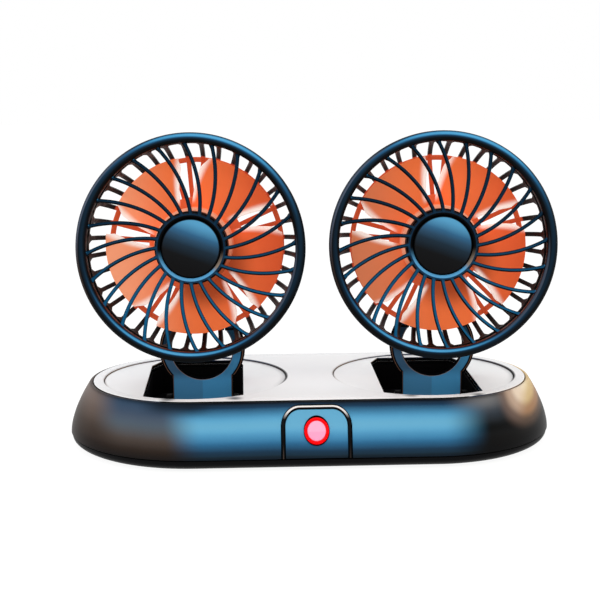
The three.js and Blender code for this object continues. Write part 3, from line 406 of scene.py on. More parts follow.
def guardLacquerAndPaintedLight():
    m = Finish("guardLacquerAndPaintedLight", lacquer, Specular_IOR_Level=0.04)
    slow, facing = m.noise(45), m.facing()
    nx, ny, nz = facing
    place = x, y, z = m.ownPlace()
    radius = m.length(x, z)
    outward = (nx * x + nz * z) / radius
    outer = m.between(outward, "outerTurn")
    # painted highlight: a bright band where the surface faces forward and up, fading to black as painted
    # shade
    glow = m.clear(m.toward(facing, "toward")) ** m["sharpness"]
    rim = m.ramp(glow + (slow - 0.5) * m["unevenness"], "stops")
    # painted reflections: brown where it faces left, slate where it faces up and to the left
    brown = m.between(m.toward(facing, "sideToward"), "sideTurn")
    rim = m.mix(brown * outer * m["sideShare"], rim, "side")
    slate = m.between(m.toward(facing, "slateToward"), "slateTurn")
    rim = m.mix(slate * m.scaled(outer, "slateShare"), rim, "slate")
    # painted shade where the rim faces outward
    rim = m.mix(m.between(outward, "rimShadeTurn") * m["rimEdgeShare"], rim, "rimShade")
    mouth = m.between(-z, "mouthDrop") * m.before(radius - guardMouth, "mouthWidth")
    rim = m.mix(mouth * m.between(y, "mouthDepth"), rim, "mouth")
    # a painted warm highlight along the rim's upper right edge
    corner = m.between(x + z, "warmGlintReach") * m.between(radius - guard["radius"], "warmGlintWidth")
    rim = m.mix(corner * m.between(y, "warmGlintDepth") * m["edgeShare"], rim, "edge")
    # the ribs: darker above and lighter below as painted light, black as painted shade on sides that face
    # away
    front = m.between(-ny, "frontTurn")
    face = m.mix(m.between(-z, "ribDrop"), "ribHigh", "ribLow")
    face = m.mix(m.between(m.toward(facing, "ribToward"), "ribTurn"), "ribShade", face)
    rib = m.mix(front, "ribShade", face)
    # the hub ring: lighter toward the lower left as painted light; in its dish a blue painted highlight below
    hub = m.ramp(m.between(m.toward(place, "hubToward"), "hubRise"), "hub", "EASE")
    # with a brown painted glint, and black as painted shade above and on faces turned from the front
    dish = m.mix(m.between(m.toward(place, "glintToward"), "glintRise"), "dish", "glint")
    dish = m.mix(m.between(-z, "dishShadeDrop"), "gap", dish)
    hub = m.mix(front, "gap", hub)
    hub = m.mix(m.between(radius, "dishEdge"), dish, hub)
    inside = m.mix(m.between(radius, "hubEdge"), hub, rib)
    # black as painted shade on the skirt behind the hub ring
    behind = m.between(y, "skirtShadeDepth") * m.between(-radius, "skirtShadeInside")
    inside = m.mix(behind, inside, "gap")
    flakes(m)
    return m.done(m.mix(m.between(radius, guardMouth - m["mouthEdge"], guardMouth), inside, rim), slow)


capPaint = {
    "stops": [(0.0, "0a090a"), (0.25, "0e0f11"), (0.5, "1a2a37"), (0.66, "28465e"), (0.77, "2e5c7e"),
              (0.94, "5094ba"), (1.0, "549ac0")],
    "toward": (0.36, 0, 0.95), "rise": (-14.4, 15.6), "unevenness": 1.5, "side": "040405",
    "sideEdge": (12.5, 12.9), "roughness": (0.36, 0.1),
}


def capLacquerAndPaintedLight():
    # painted light and shade: pale blue above and to the right as a painted highlight, black below as painted
    # shade, and black as painted shade round its rounded edge
    m = Finish("capLacquerAndPaintedLight", capPaint, Specular_IOR_Level=0.06)
    slow = m.noise(45)
    place = x, _, z = m.ownPlace()
    level = m.between(m.toward(place, "toward") + (slow - 0.5) * m["unevenness"], "rise")
    colour = m.mix(m.between(m.length(x, z), "sideEdge"), m.ramp(level, "stops"), "side")
    flakes(m, 0.12)
    return m.done(colour, slow)


forkPaint = {
    "left": "406686", "right": "448cba", "middle": (-0.25, 0.25),
    "low": "4c9ed2", "lowLightRise": (-1, 5), "lowShare": 0.5, "high": "0e1e2a", "highShadeRise": (9, 19),
    "highShare": 0.85,
    "edge": "705444", "side": "050608", "line": "96847a",
    "neckTop": (-13.2, -12.6), "face": 19.2, "neckFace": 14.2, "soft": (-0.2, 0.2),
    "ringLine": (20.1, 0.3), "neckLine": (14.5, 0.25), "lineShare": 0.8, "innerLine": (0.2, 0.6),
    "sideLine": (0, 0.35), "sideTurn": (0.1, 0.8), "sideEdge": (17, 18), "frontTurn": (0.8, 0.95),
    "roughness": (0.38, 0.08),
}


def forkLacquerAndPaintedLight():
    # a flat face whose halves are painted as a lit and a shaded facet, lighter and glowing near the deck as
    # painted light and darker higher up as painted shade, inside black borders; the thin brown lines on the
    # borders and the pale ones on the outer sides and the ring's inner edge are painted highlights
    m = Finish("forkLacquerAndPaintedLight", forkPaint, Specular_IOR_Level=0.0, Emission_Strength=0.15)
    slow = m.noise(70)
    nx, ny, nz = m.facing()
    x, y, z = m.ownPlace()
    rise = z - base["deckTop"]
    up = rise - fork["ringHeight"]
    radius, across = m.length(x, up), m.length(x)
    # the two halves painted as a lit and a shaded facet
    half = m.mix(m.between(x, "middle"), "left", "right")
    # painted light lower down, where the face also glows, and painted shade higher up
    low = m.before(rise, "lowLightRise")
    half = m.mix(low * m["lowShare"], half, "low")
    half = m.mix(m.between(rise, "highShadeRise") * m["highShare"], half, "high")
    below = m.before(up, "neckTop")
    beside = m.before(across - m["neckFace"], "soft")
    outside = m.between(radius - m["face"], "soft") * (1 - below * beside)
    face = m.mix(outside, half, "side")
    # painted highlights: thin brown lines along the borders, and a pale band along the ring's inner edge
    lines = m.near(radius, "ringLine") * (1 - below) + m.near(across, "neckLine") * below
    face = m.mix(lines * m["lineShare"], face, "edge")
    face = m.mix(m.between(radius - fork["inner"], "innerLine"), "line", face)
    # a painted highlight: a pale line along the middle of the outer sides
    line = m.near(y, "sideLine") * m.between(nz + nx, "sideTurn")
    side = m.mix(line * m.between(radius, "sideEdge"), "side", "line")
    face = m.mix(m.between(-ny, "frontTurn"), side, face)
    flakes(m)
    # the lower part glows as painted light
    return m.done(face, slow, m.mix(low, "side", face))


# Finishes of the base

# the base's lacquer with painted light: four lists from the waist up to the deck that paint light, shade and
# reflections by height, and two that paint the glint, from its middle outward
shellPaint = {
    "blue": [(0.0, "121e28"), (0.05, "192c3a"), (0.16, "21445f"), (0.3, "357198"), (0.45, "5398be"),
             (0.59, "65a9ca"), (0.74, "5095bb"), (0.88, "285270"), (0.95, "14283a"), (1.0, "06080a")],
    "slate": [(0.0, "1a1615"), (0.18, "342b26"), (0.36, "4c4644"), (0.56, "4e5862"), (0.74, "425062"),
              (0.92, "30445a"), (1.0, "121a22")],
    "bronze": [(0.0, "16110f"), (0.2, "2c221d"), (0.48, "483c35"), (0.72, "62544d"), (0.93, "6a5c56"),
               (1.0, "322a28")],
    "dark": [(0.0, "0a0a0b"), (0.3, "0e0f10"), (0.52, "12171c"), (0.74, "424850"), (0.92, "707072"),
             (1.0, "323234")],
    "cream": [(0.0, "f2e6d4"), (0.34, "e6d2bc"), (0.52, "baa08c"), (0.74, "705c52"), (1.0, "1a1614")],
    "gold": [(0.0, "ecd8a8"), (0.34, "ceb280"), (0.56, "a07a5a"), (0.78, "625044"), (1.0, "2a2624")],
    "unevenness": 0.05, "graininess": 0.03, "roughness": (0.34, 0.12),
    "slateTurn": (50, 69), "slateLean": 4, "bronzeTurn": (90, 106), "darkTurn": (58, 82),
    "edge": "241a15", "edgeTurn": (106, 119), "edgeShare": 0.7,
    "shadow": "0e1822", "shadowPlace": (-64, 20), "shadowRise": (0.7, 0.97), "shadowShare": 0.9,
    "shinePlace": (103, 1.06), "shineSize": (20, 0.86), "shineTurn": (78, 92), "shineRise": (0.05, 0.3),
    "shineFade": (0.6, 1.1), "shineShare": 0.85, "shineUnevenness": 0.1, "goldTurn": (88, 98), "goldLean": 10,
    "panelRise": 0.62, "panelReach": (7.4, 8.2), "panelFront": (0, 10), "panelShare": 0.9,
    "sunk": "040405", "sunkDepth": (0.12, 0.4),
}


def shellLacquerAndPaintedLight():
    # blue, bright in the middle of the height and darker above and below, as painted light; slate and bronze
    # toward the left end as painted reflections, with painted shade along its far edge and a painted shadow
    # high up by the left fork; black as painted shade and a painted warm glint toward the right end; black as
    # painted shade in the recesses
    m = Finish("shellLacquerAndPaintedLight", shellPaint, Specular_IOR_Level=0.05)
    x, y, z = m.objectPlace()
    height = (z - base["waist"]) / base["wallHeight"]
    slow, grain = m.noise(30), m.noise(2600, 1)
    beside = m.clear(m.length(x) - panel["halfWidth"] + panel["corner"])
    above = m.clear(z - panel["top"] + panel["corner"])
    inPanel = m.before(m.length(beside, above), "panelReach") * m.between(-y, "panelFront")
    shown = height - m.clear(height - m["panelRise"]) * inPanel * m["panelShare"]
    level = shown + (slow - 0.5) * m["unevenness"] + (grain - 0.5) * m["graininess"]
    # the lists paint light, shade and reflections by height
    names = "blue", "slate", "bronze", "dark"
    blue, slate, bronze, dark = (m.ramp(level, name, "CARDINAL") for name in names)
    left = m.mix(m.between(-x - height * m["slateLean"], "slateTurn"), blue, slate)
    left = m.mix(m.between(-x, "bronzeTurn"), left, bronze)
    # painted shade along the far left end
    left = m.mix(m.between(-x, "edgeTurn") * m["edgeShare"], left, "edge")
    shadow = m.near(x, "shadowPlace") * m.between(height, "shadowRise")
    left = m.mix(shadow * m["shadowShare"], left, "shadow")
    # painted shade toward the right end
    right = m.mix(m.between(x, "darkTurn"), left, dark)
    # a painted warm glint toward the right end, cream at its middle and gold round it
    places = zip((x, height), m["shinePlace"], m["shineSize"])
    away = m.length(*[(value - place) / size for value, place, size in places])
    away = away + (slow - 0.5) * m["shineUnevenness"]
    cream, gold = m.ramp(away, "cream", "EASE"), m.ramp(away, "gold", "EASE")
    gold = m.mix(m.between(x - height * m["goldLean"], "goldTurn"), cream, gold)
    shine = m.between(x, "shineTurn") * m.between(height, "shineRise")
    right = m.mix(shine * (1 - m.between(away, "shineFade") * m["shineShare"]), right, gold)
    flakes(m)
    # black in the recesses as painted shade
    sunk = m.between(m.marked("sunk"), "sunkDepth")
    return m.done(m.mix(sunk, right, "sunk"), slow)


deckPaint = {
    "pale": "e9ebed", "paler": "eff1f3", "lip": "ffffff", "black": "050607",
    "frontward": (-30, 45), "frontShare": 0.8, "lipReach": (-4.6, -2.4), "lipShare": 0.75,
    "outerReach": (-4.2, -3.2), "roughness": (0.2, 0.1),
    "wallLeft": "967c66", "wallBack": "223454", "wallRight": "3a2c28", "wallDepth": (-1.25, -0.95),
    "rightTurn": (-0.75, -0.2), "leftTurn": (0.35, 0.9), "innerUp": (0.22, 0.5), "outerUp": (0.55, 0.85),
    "forkShadow": "323438", "smudges": (-68.8, -37.4, 45.4, 76.8), "smudgeY": -45.6, "smudgeSize": (5.2, 4.4),
    "forkShadowFade": (0.1, 1), "smudgeShare": 0.78,
    "ring": (45.2, 1.1), "ringTan": "928478", "ringDark": "181c24", "ringBack": "283e5e",
    "ringShade": "94969a", "ringTurn": (-14, 26), "ringBackward": (14, 36), "ringFade": (6, 26),
    "ringBackShare": 0.9, "ringSide": (-20, 10), "ringShare": (0.35, 0.55),
    "dish": (41.4, 45.2), "dishEdge": (45.1, 45.3), "dishShare": 0.6,
    "middle": (48, 84), "middleFront": (-20, 25),
}


def deckPlastic():
    # pale grey, whiter toward the front and over the rounded front edge as a painted highlight, with painted
    # shadows beside the forks; a line round each disc, painted tan at its left, dark at its right and slate
    # blue at its back as painted light, with painted shade inside its edge; the walls of the cut-outs are
    # painted lighter or darker by the way they face and black as painted shade further down, and the middle
    # glows as painted light
    m = Finish("deckPlastic", deckPaint, Specular_IOR_Level=0.12, Emission_Strength=0.12)
    slow, fine = m.noise(25), m.noise(3000, 2)
    nx, _, nz = m.facing()
    x, y, z = m.objectPlace()
    flat = m.mix(slow, "pale", "paler")
    # painted highlight: whiter toward the front and over the rounded front edge
    flat = m.mix(m.between(-y, "frontward") * m["frontShare"], flat, "lip")
    flat = m.mix(m.between(-y - base["deckRadius"], "lipReach") * m["lipShare"], flat, "lip")
    # painted shadows beside the forks
    wide, deep = m["smudgeSize"]
    forkShade = 0
    for place in m["smudges"]:
        away = m.length((x - place) / wide, (y - m["smudgeY"]) / deep)
        forkShade = forkShade + m.before(away, "forkShadowFade")
    flat = m.mix(forkShade * m["smudgeShare"], flat, "forkShadow")
    u = x - m.add("Math", {"operation": "SIGN"}, {0: x}) * base["spacing"] / 2
    fromAxis = m.length(u, y)
    fade, toRight = m.before(-y, "ringFade"), m.between(u, "ringTurn")
    # painted shade just inside each disc's edge, toward its right
    dish = m.between(fromAxis, "dish") * m.before(fromAxis, "dishEdge")
    flat = m.mix(dish * toRight * fade * m["dishShare"], flat, "ringShade")
    # the line round each disc, painted tan, dark or slate blue by its side as painted light
    edge = m.mix(toRight, "ringTan", "ringDark")
    edge = m.mix(m.between(y, "ringBackward") * m["ringBackShare"], edge, "ringBack")
    side = m.scaled(m.between(u, "ringSide"), "ringShare")
    flat = m.mix(m.near(fromAxis, "ring") * fade * side, flat, edge)
    # the cut-outs' walls, painted lighter or darker by the way they face, and black as painted shade further
    # down
    wall = m.mix(m.between(nx, "rightTurn"), "wallRight", "wallBack")
    wall = m.mix(m.between(nx, "leftTurn"), wall, "wallLeft")
    wall = m.mix(m.between(z - base["deckTop"], "wallDepth"), "black", wall)
    outer = m.between(m.length(y) - base["deckRadius"], "outerReach")
    wall = m.mix(outer, wall, "black")
    upward = m.mix(outer, m.between(nz, "innerUp"), m.between(nz, "outerUp"))
    colour = m.mix(upward, wall, flat)
    # the middle glows as painted light
    middle = m.before(m.length(x), "middle") * m.between(-y, "middleFront")
    m.bump(fine, 0.03, 0.00004)
    return m.done(colour, slow, m.mix(middle, "black", colour))


beadPaint = {"black": "050506", "leg": "5c4c44", "top": "faf4f0", "topTurn": (0.05, 0.4),
             "topEdge": (0.95, 1), "topRise": (23.5, 27.5), "legTurn": (0.95, 0.995), "legSpan": (-6, 6),
             "legShare": (0.25, 0.4), "roughness": (0.2, 0.08)}


def beadPlastic():
    # glossy black with painted highlights: a bright strip over the arch, and a faint brown line down each leg
    m = Finish("beadPlastic", beadPaint, Specular_IOR_Level=0.05)
    _, ny, nz = m.facing()
    x, _, z = m.objectPlace()
    over = m.between(nz, "topTurn") * m.before(nz, "topEdge")
    leg = m.between(-ny, "legTurn") * m.scaled(m.between(-x, "legSpan"), "legShare")
    legs = m.mix(leg, "black", "leg")
    colour = m.mix(over * m.between(z, "topRise"), legs, "top")
    return m.done(colour, m.noise(80))


litPaint = {"step": (-0.1, 0.1), "roughness": (0.25, 0.06)}


def litPlastic(name, upper, lower, height, glow):
    # the button's ring and its face, faintly lit from inside, paler above a level line
    m = Finish(name, litPaint, Specular_IOR_Level=0.05, Emission_Strength=glow)
    colour = m.mix(m.between(m.objectPlace()[2] - height, "step"), lower, upper)
    return m.done(colour, m.noise(120), colour)


# Finishes of the blades and the rear guard

bladePaint = {
    "left": "f69e76", "leftFar": "d47a54", "middle": "ec703c", "right": "d4542c", "deep": "c44822",
    "farTurn": (-20, 20), "leftTurn": (-34, -2), "rightTurn": (4, 36), "pale": "ffece2",
    "turnToward": (0.85, 0, 0.12), "hubShare": 0.75, "deepShare": 0.14, "roughness": (0.46, 0.1),
    "hub": "782e16", "hubPlace": (5, -9), "hubShadowReach": (12, 25), "root": "1e0c08", "rootEdge": (16.3, 16.8),
    "annulus": "f09e7e", "annulusEdge": (17.8, 18.2), "annulusRise": (-14, 2), "annulusToward": (-0.2, 0, 1),
}


def bladePlastic():
    # orange, paler at the left and deeper at the right as painted light, with a painted shadow by the hub,
    # black as painted shade round the hub and a painted highlight on the cup's upper rim; the thin edges are
    # painted pale as light shining through them, and the blade glows faintly as painted light
    m = Finish("bladePlastic", bladePaint, Specular_IOR_Level=0.08, Emission_Strength=0.42)
    place = x, _, z = m.ownPlace()
    slow, fine = m.noise(40), m.noise(2600, 2)
    radius, turn = m.length(x, z), m.toward(place, "turnToward")
    # painted light: paler at the left, less so on the right fan, deeper at the right
    left = m.mix(m.between(m.objectPlace()[0], "farTurn"), "left", "leftFar")
    body = m.mix(m.between(turn, "leftTurn"), left, "middle")
    body = m.mix(m.between(turn, "rightTurn"), body, "right")
    # a painted shadow below and to the right of the hub
    shadeX, shadeZ = m["hubPlace"]
    body = m.mix(m.before(m.length(x - shadeX, z - shadeZ), "hubShadowReach") * m["hubShare"], body, "hub")
    # a painted highlight on the upper part of the cup's rim
    ring = m.before(radius, "annulusEdge") * m.between(m.toward(place, "annulusToward"), "annulusRise")
    body = m.mix(ring, body, "annulus")
    # black round the hub as painted shade
    body = m.mix(m.between(radius, "rootEdge"), "root", body)
    # the thin edges painted pale, as light shining through them
    colour = m.mix(slow * m["deepShare"], m.mix(m.marked("edge"), body, "pale"), "deep")
    m.bump(fine, 0.05, 0.00005)
    # the whole blade glows as painted light
    return m.done(colour, slow, colour)


rearPaint = {
    "rust": "cc5c36", "rustDeep": "ba502e", "ringEdge": (-0.1, 0.7),
    "plate": "d66c42", "plateEdge": (-0.1, 0.3), "roughness": (0.36, 0.1),
    "glowless": "050607", "black": "040404", "brown": "160c09", "brownPatch": (0.5, 0.8),
    "grey": "70645e", "greyPatch": (0.48, 0.6), "greyReach": (40, 64), "greyEdge": (2, 6),
    "greyShare": 0.7,
}


def rearPlastic():
    # rust orange inside the blades' circle, glowing faintly there as painted light; outside it black, with
    # brown patches at random and grey painted highlights toward the upper left
    m = Finish("rearPlastic", rearPaint, Specular_IOR_Level=0.06, Emission_Strength=0.28)
    x, _, z = m.ownPlace()
    slow, fine, patch = m.noise(60), m.noise(3000, 2), m.noise(210, 2)
    radius = m.length(x, z)
    rust = m.mix(slow, "rust", "rustDeep")
    rust = m.mix(m.before(radius - rear["plate"], "plateEdge"), rust, "plate")
    dark = m.mix(m.between(patch, "brownPatch"), "black", "brown")
    # painted highlights: grey patches toward the upper left, outside the ring
    corner = m.between(z - x, "greyReach") * m.between(patch, "greyPatch")
    corner = corner * m.between(radius - rear["ring"], "greyEdge")
    dark = m.mix(corner * m["greyShare"], dark, "grey")
    inside = m.before(radius - rear["ring"], "ringEdge")
    m.bump(fine, 0.05, 0.00005)
    # the rust zone glows as painted light
    return m.done(m.mix(inside, dark, rust), slow, m.mix(inside, "glowless", rust))


# Plain finishes


def satinPlastic(name, colour, roughness, gloss=0.2):
    # moulded plastic: fine grain in the bump, and slow patches in colour and gloss
    paint = {"patches": 0.12, "lighter": 1.6, "lift": 0.004, "roughness": (roughness - 0.06, 0.12)}
    m = Finish(name, paint, Specular_IOR_Level=gloss)
    slow, fine = m.noise(60), m.noise(5200, 2)
    m.bump(fine, 0.06, 0.00005)
    lighter = (*(min(1, c * m["lighter"] + m["lift"]) for c in colour), 1)
    return m.done(m.mix(slow * m["patches"], (*colour, 1), lighter), slow)


def blackPlastic(name, roughness, gloss=0.05):
    return satinPlastic(name, (0.002, 0.002, 0.0025), roughness, gloss)


def steelFinish():
    paint = {"bright": (0.56, 0.57, 0.6), "dull": 0.72, "roughness": (0.22, 0.14)}
    m = Finish("steelFinish", paint, Metallic=1.0)
    slow, fine = m.noise(300), m.noise(4000, 2)
    bright = np.array(m["bright"])
    m.bump(fine, 0.08, 0.00003)
    return m.done(m.mix(slow, (*bright, 1), (*bright * m["dull"], 1)), slow)


rubberPaint = {"dark": (0.012, 0.012, 0.012, 1), "dusty": (0.05, 0.048, 0.045, 1), "dustyShare": 0.4,
               "roughness": (0.78, 0.12)}


def rubberFinish():
    m = Finish("rubberFinish", rubberPaint, Specular_IOR_Level=0.2)
    slow, fine = m.noise(90), m.noise(3600, 3)
    m.bump(fine, 0.15, 0.00008)
    return m.done(m.mix(slow * m["dustyShare"], m["dark"], m["dusty"]), slow)


# Base

base = {"spacing": 114.0, "deckRadius": 51.8, "deckTop": 31.1, "waist": 6.6, "waistReach": 10.2,
        "wallHeight": 24.5, "wallCurve": 1.6, "endSteps": 56}


def wallRadius(height):
    # from the waist up, the wall draws in by its reach times the share of its height to a power
    rise = np.clip((height - base["waist"]) / base["wallHeight"], 0, None)
    return base["deckRadius"] + base["waistReach"] * (1 - rise ** base["wallCurve"])


def crowded(coarse, reach, fine):
    # places along a straight side of the base, closer together within a reach of its middle
    half = base["spacing"] / 2
    return np.unique(np.concatenate([np.linspace(-half, half, coarse), np.linspace(-reach, reach, fine)]))


def roundBase(frontXs, backXs):
    # end centre and angle of each column, once round the base from the left end of the front
    half = base["spacing"] / 2
    ends = np.linspace(-pi / 2, pi / 2, base["endSteps"])
    backXs = backXs[np.abs(backXs) < half][::-1]
    end = np.full(len(ends) - 1, half)
    centre = np.concatenate([frontXs, end, backXs, -end])
    front, back = np.full(len(frontXs), -pi / 2), np.full(len(backXs), pi / 2)
    angle = np.concatenate([front, ends[1:], back, ends[:-1] + pi])
    return centre, angle


def loft(profile, centre, angle):
    # one row for each radius and height, one column for each place round the base
    radius, height = profile[:, :1], profile[:, 1:]
    return np.stack([centre + radius * np.cos(angle), radius * np.sin(angle), height + 0 * angle], -1)


def baseOutline(radius, steps=64):
    half = base["spacing"] / 2
    return np.concatenate([arc(radius, -90, 90, steps, half), arc(radius, 90, 270, steps, -half)])


panel = {
    "halfWidth": 16.4, "top": 29.4, "low": 6.1, "corner": 9.0, "reach": 18.0, "recess": 1.6,
    "recessEdge": 0.3, "inset": 0.3, "thick": 1.2, "crowding": 1.35, "groove": 2.1, "grooveDepth": 0.9,
    "grooveEdge": (0.25, 0.1), "button": 18.4, "slopeReach": 6.6, "holeWidth": 11.6, "holeHeight": 12.7,
    "holeDepth": 2.0, "holeEdge": 0.03,
}

bead = {"radius": 0.75, "inset": 1.05, "stand": 0.48}

socket = {
    "halfWidth": 4.9, "halfHeight": 2.3, "corner": 2.2, "wall": 0.7, "rise": 13.0, "length": 9.0,
    "cavity": 6.0, "sunk": 0.3, "outerEdge": 0.15, "innerEdge": 0.2, "gap": 0.25, "recess": 2.2,
    "recessEdge": 0.25, "columnReach": 6.4, "reach": 6.3, "reachUp": 4.0, "tongue": 3.2, "tongueThick": 0.7,
    "tongueDepth": (6.3, 0.8), "tongueCorner": 0.4, "tongueEdge": 0.08, "closing": 0.02,
}


def insideArch(x, z):
    # how far a point of the front lies inside the panel's outline, with its straight sides and round corners
    corner = panel["corner"]
    across = np.abs(x) - (panel["halfWidth"] - corner)
    above = z - (panel["top"] - corner)
    atCorner = corner - np.hypot(np.maximum(across, 0), np.maximum(above, 0))
    beside = panel["halfWidth"] - np.abs(x)
    return np.where((across > 0) & (above > 0), atCorner, np.minimum(beside, panel["top"] - z))


def markSunk(obj):
    # the attribute "sunk" tells how far a point by the panel or the socket lies behind the wall's face
    x, y, z = (vertexPlaces(obj.data) / mm).T
    byPanel = (y < 0) & (np.abs(x) < panel["reach"])
    bySocket = (y > 0) & (np.abs(x) < socket["reach"]) & (np.abs(z - socket["rise"]) < socket["reachUp"])
    mark(obj.data, "sunk", np.where(byPanel | bySocket, wallRadius(z) - np.abs(y), 0))


shell = {"low": 6.1, "lowBend": 0.3, "footBend": 0.35, "top": 30.6, "topBend": 0.35, "slope": 0.15,
         "rim": 1.25, "rimRound": 0.5, "ledge": 28.6, "ledgeBend": 0.4, "wall": 2.4}


def upperShell():
    # the wall, a lip that rounds over the deck's edge, a ledge for the deck, and two recesses
    centre, angle = roundBase(crowded(24, panel["reach"], 145), crowded(16, socket["columnReach"], 65))
    top, low, ledge, wall = shell["top"], shell["low"], shell["ledge"], shell["wall"]
    start, end = low + shell["lowBend"], top - shell["topBend"]
    heights = np.concatenate([[start], np.linspace(base["waist"], end, 96)])
    outer = np.stack([wallRadius(heights), heights], -1)
    crest = float(wallRadius(top))
    rim = crest - shell["rim"]
    topEdge = rounded([outer[-1], [crest - shell["slope"], top], [rim, top], [rim, ledge],
                       [crest - wall, ledge]], shell["rimRound"], 5)
    inner = [[wallRadius(h) - wall, h] for h in np.linspace(ledge - shell["ledgeBend"], start, 8)]
    foot = float(wallRadius(low))
    lowEdge = [[foot - wall + shell["lowBend"], low], [foot - shell["footBend"], low]]
    points = loft(np.array([*outer, *topEdge[1:], *inner, *lowEdge]), centre, angle)
    rows = len(outer)
    byPanel = (angle == -pi / 2) & (np.abs(centre) < panel["reach"])
    x, z = points[:rows, byPanel, 0], points[:rows, byPanel, 2]
    points[:rows, byPanel, 1] += panel["recess"] * smoothStep(0.0, panel["recessEdge"], insideArch(x, z))
    bySocket = (angle == pi / 2) & (np.abs(centre) < socket["reach"])
    x, z = points[:rows, bySocket, 0], points[:rows, bySocket, 2]
    away = np.hypot(np.maximum(np.abs(x) - socket["halfWidth"] + socket["halfHeight"], 0), z - socket["rise"])
    inside = socket["halfHeight"] + socket["gap"] - away
    points[:rows, bySocket, 1] -= socket["recess"] * smoothStep(0.0, socket["recessEdge"], inside)
    return gridShape(points, closeRows=True, closeColumns=True)


def frontPanel():
    # columns run from the panel's lower edge up to its arch; a groove follows the arch, and the oval hole for
    # the button's ring is sunk into the middle
    inset, hole, reach = panel["inset"], panel["holeEdge"], np.linspace(-1, 1, 201)
    edge, corner, low = panel["halfWidth"] - inset, panel["corner"] - inset, panel["low"] + inset
    x = edge * np.sign(reach) * (1 - (1 - np.abs(reach)) ** panel["crowding"])
    over = np.clip(np.abs(x) - (edge - corner), 0, corner)
    top = panel["top"] - inset - corner + np.sqrt(corner**2 - over**2)
    z = low + (top - low) * np.linspace(0, 1, 161)[:, None]
    xs = np.broadcast_to(x, z.shape)
    away = np.hypot(xs / (panel["holeWidth"] / 2), (z - panel["button"]) / (panel["holeHeight"] / 2))
    depth = panel["holeDepth"] * (1 - smoothStep(1 - hole, 1 + hole, away))
    before, after = panel["grooveEdge"]
    inGroove = 1 - smoothStep(panel["groove"] - before, panel["groove"] + after, insideArch(xs, z))
    depth += panel["grooveDepth"] * inGroove
    front = np.stack([xs, depth - wallRadius(z), z], -1)
    back = np.stack([xs, panel["recess"] + panel["thick"] - wallRadius(z), z], -1)
    return gridShape(np.concatenate([front, back[::-1]]), closeRows=True)


def archBead():
    # a round bead, more than half sunk, that follows the panel's outline up over the arch and down again
    side, corner = panel["halfWidth"] - bead["inset"], panel["corner"] - bead["inset"]
    top, low = panel["top"] - bead["inset"], panel["low"] + panel["inset"]
    across, shoulder = side - corner, top - corner
    line = np.concatenate([
        np.stack([np.full(40, -side), np.linspace(low, shoulder, 40)], -1)[:-1],
        arc(corner, 180, 90, 30, -across, shoulder)[:-1],
        np.stack([np.linspace(-across, across, 24), np.full(24, top)], -1)[:-1],
        arc(corner, 90, 0, 30, across, shoulder)[:-1],
        np.stack([np.full(40, side), np.linspace(shoulder, low, 40)], -1),
    ])
    sink = bead["radius"] - bead["stand"]
    path = np.stack([line[:, 0], sink - wallRadius(line[:, 1]), line[:, 1]], -1)
    along = unitLength(np.gradient(path, axis=0))
    out = unitLength(np.cross(along, [0, 1, 0]))
    return swept(path, out, np.cross(out, along), circle(bead["radius"], 24))


bottom = {"low": 0.8, "top": 5.8, "inset": 0.5, "tuck": 5.0, "tuckCurve": 2.4, "riseCurve": 1.15,
          "bend": 0.25, "rim": 2.2, "wall": 2.6, "wallBend": 0.3, "floor": 2.0, "floorCorner": 1.0,
          "floorGap": 0.02, "floorEdge": 0.15, "screwHole": 3.3, "screwPlace": (52.3, 45), "screwRise": 1.8,
          "footPlace": (42, 60)}


def cornerPlace(radius, degrees, sideX, sideY):
    # a place under one quarter of the base, by its distance from that end's centre and its angle
    turn = np.radians(degrees)
    return sideX * (base["spacing"] / 2 + radius * np.cos(turn)), sideY * radius * np.sin(turn)


def bottomShell():
    # a shallow tray whose side rounds out quickly from the underside, with four screw holes
    low, top, tuck, floor = bottom["low"], bottom["top"], bottom["tuck"], bottom["low"] + bottom["floor"]
    topRadius = base["deckRadius"] + base["waistReach"] - bottom["inset"]
    underRadius = topRadius - tuck
    share = np.linspace(0, 1, 24)
    side = np.stack([topRadius - tuck * (1 - share) ** bottom["tuckCurve"],
                     low + (top - bottom["bend"] - low) * share ** bottom["riseCurve"]], -1)
    rim = [[topRadius - bottom["bend"], top], [topRadius - bottom["rim"], top]]
    inner = [[topRadius - bottom["wall"], top - bottom["wallBend"]],
             [underRadius - bottom["floorCorner"], floor]]
    half = base["spacing"] / 2
    columns = roundBase(np.linspace(-half, half, 20), np.linspace(-half, half, 16))
    wall = gridShape(loft(np.array([*side, *rim, *inner]), *columns), closeRows=True, closeColumns=True)
    places = [cornerPlace(*bottom["screwPlace"], sideX, sideY) for sideX in (-1, 1) for sideY in (-1, 1)]
    holes = [circle(bottom["screwHole"], 32, x, y) for x, y in places]
    outline = baseOutline(underRadius - bottom["floorGap"])
    return joined(wall, slab([outline, *holes], low, floor, bottom["floorEdge"], 1))


deck = {"hole": 45.4, "inset": 1.35, "lip": 1.1, "lipEdge": 0.5, "underRadius": 49.7, "underLow": 2.2,
        "underHigh": 1.0, "underEdge": 0.1}


def deckPlate():
    half, top = base["spacing"] / 2, base["deckTop"]
    holes = [circle(deck["hole"], 160, side * half) for side in (-1, 1)]
    lip = slab([baseOutline(base["deckRadius"] - deck["inset"], 96), *holes], top - deck["lip"], top,
               deck["lipEdge"], 4)
    under = slab([baseOutline(deck["underRadius"]), *holes], top - deck["underLow"], top - deck["underHigh"],
                 deck["underEdge"], 1)
    return joined(lip, under)


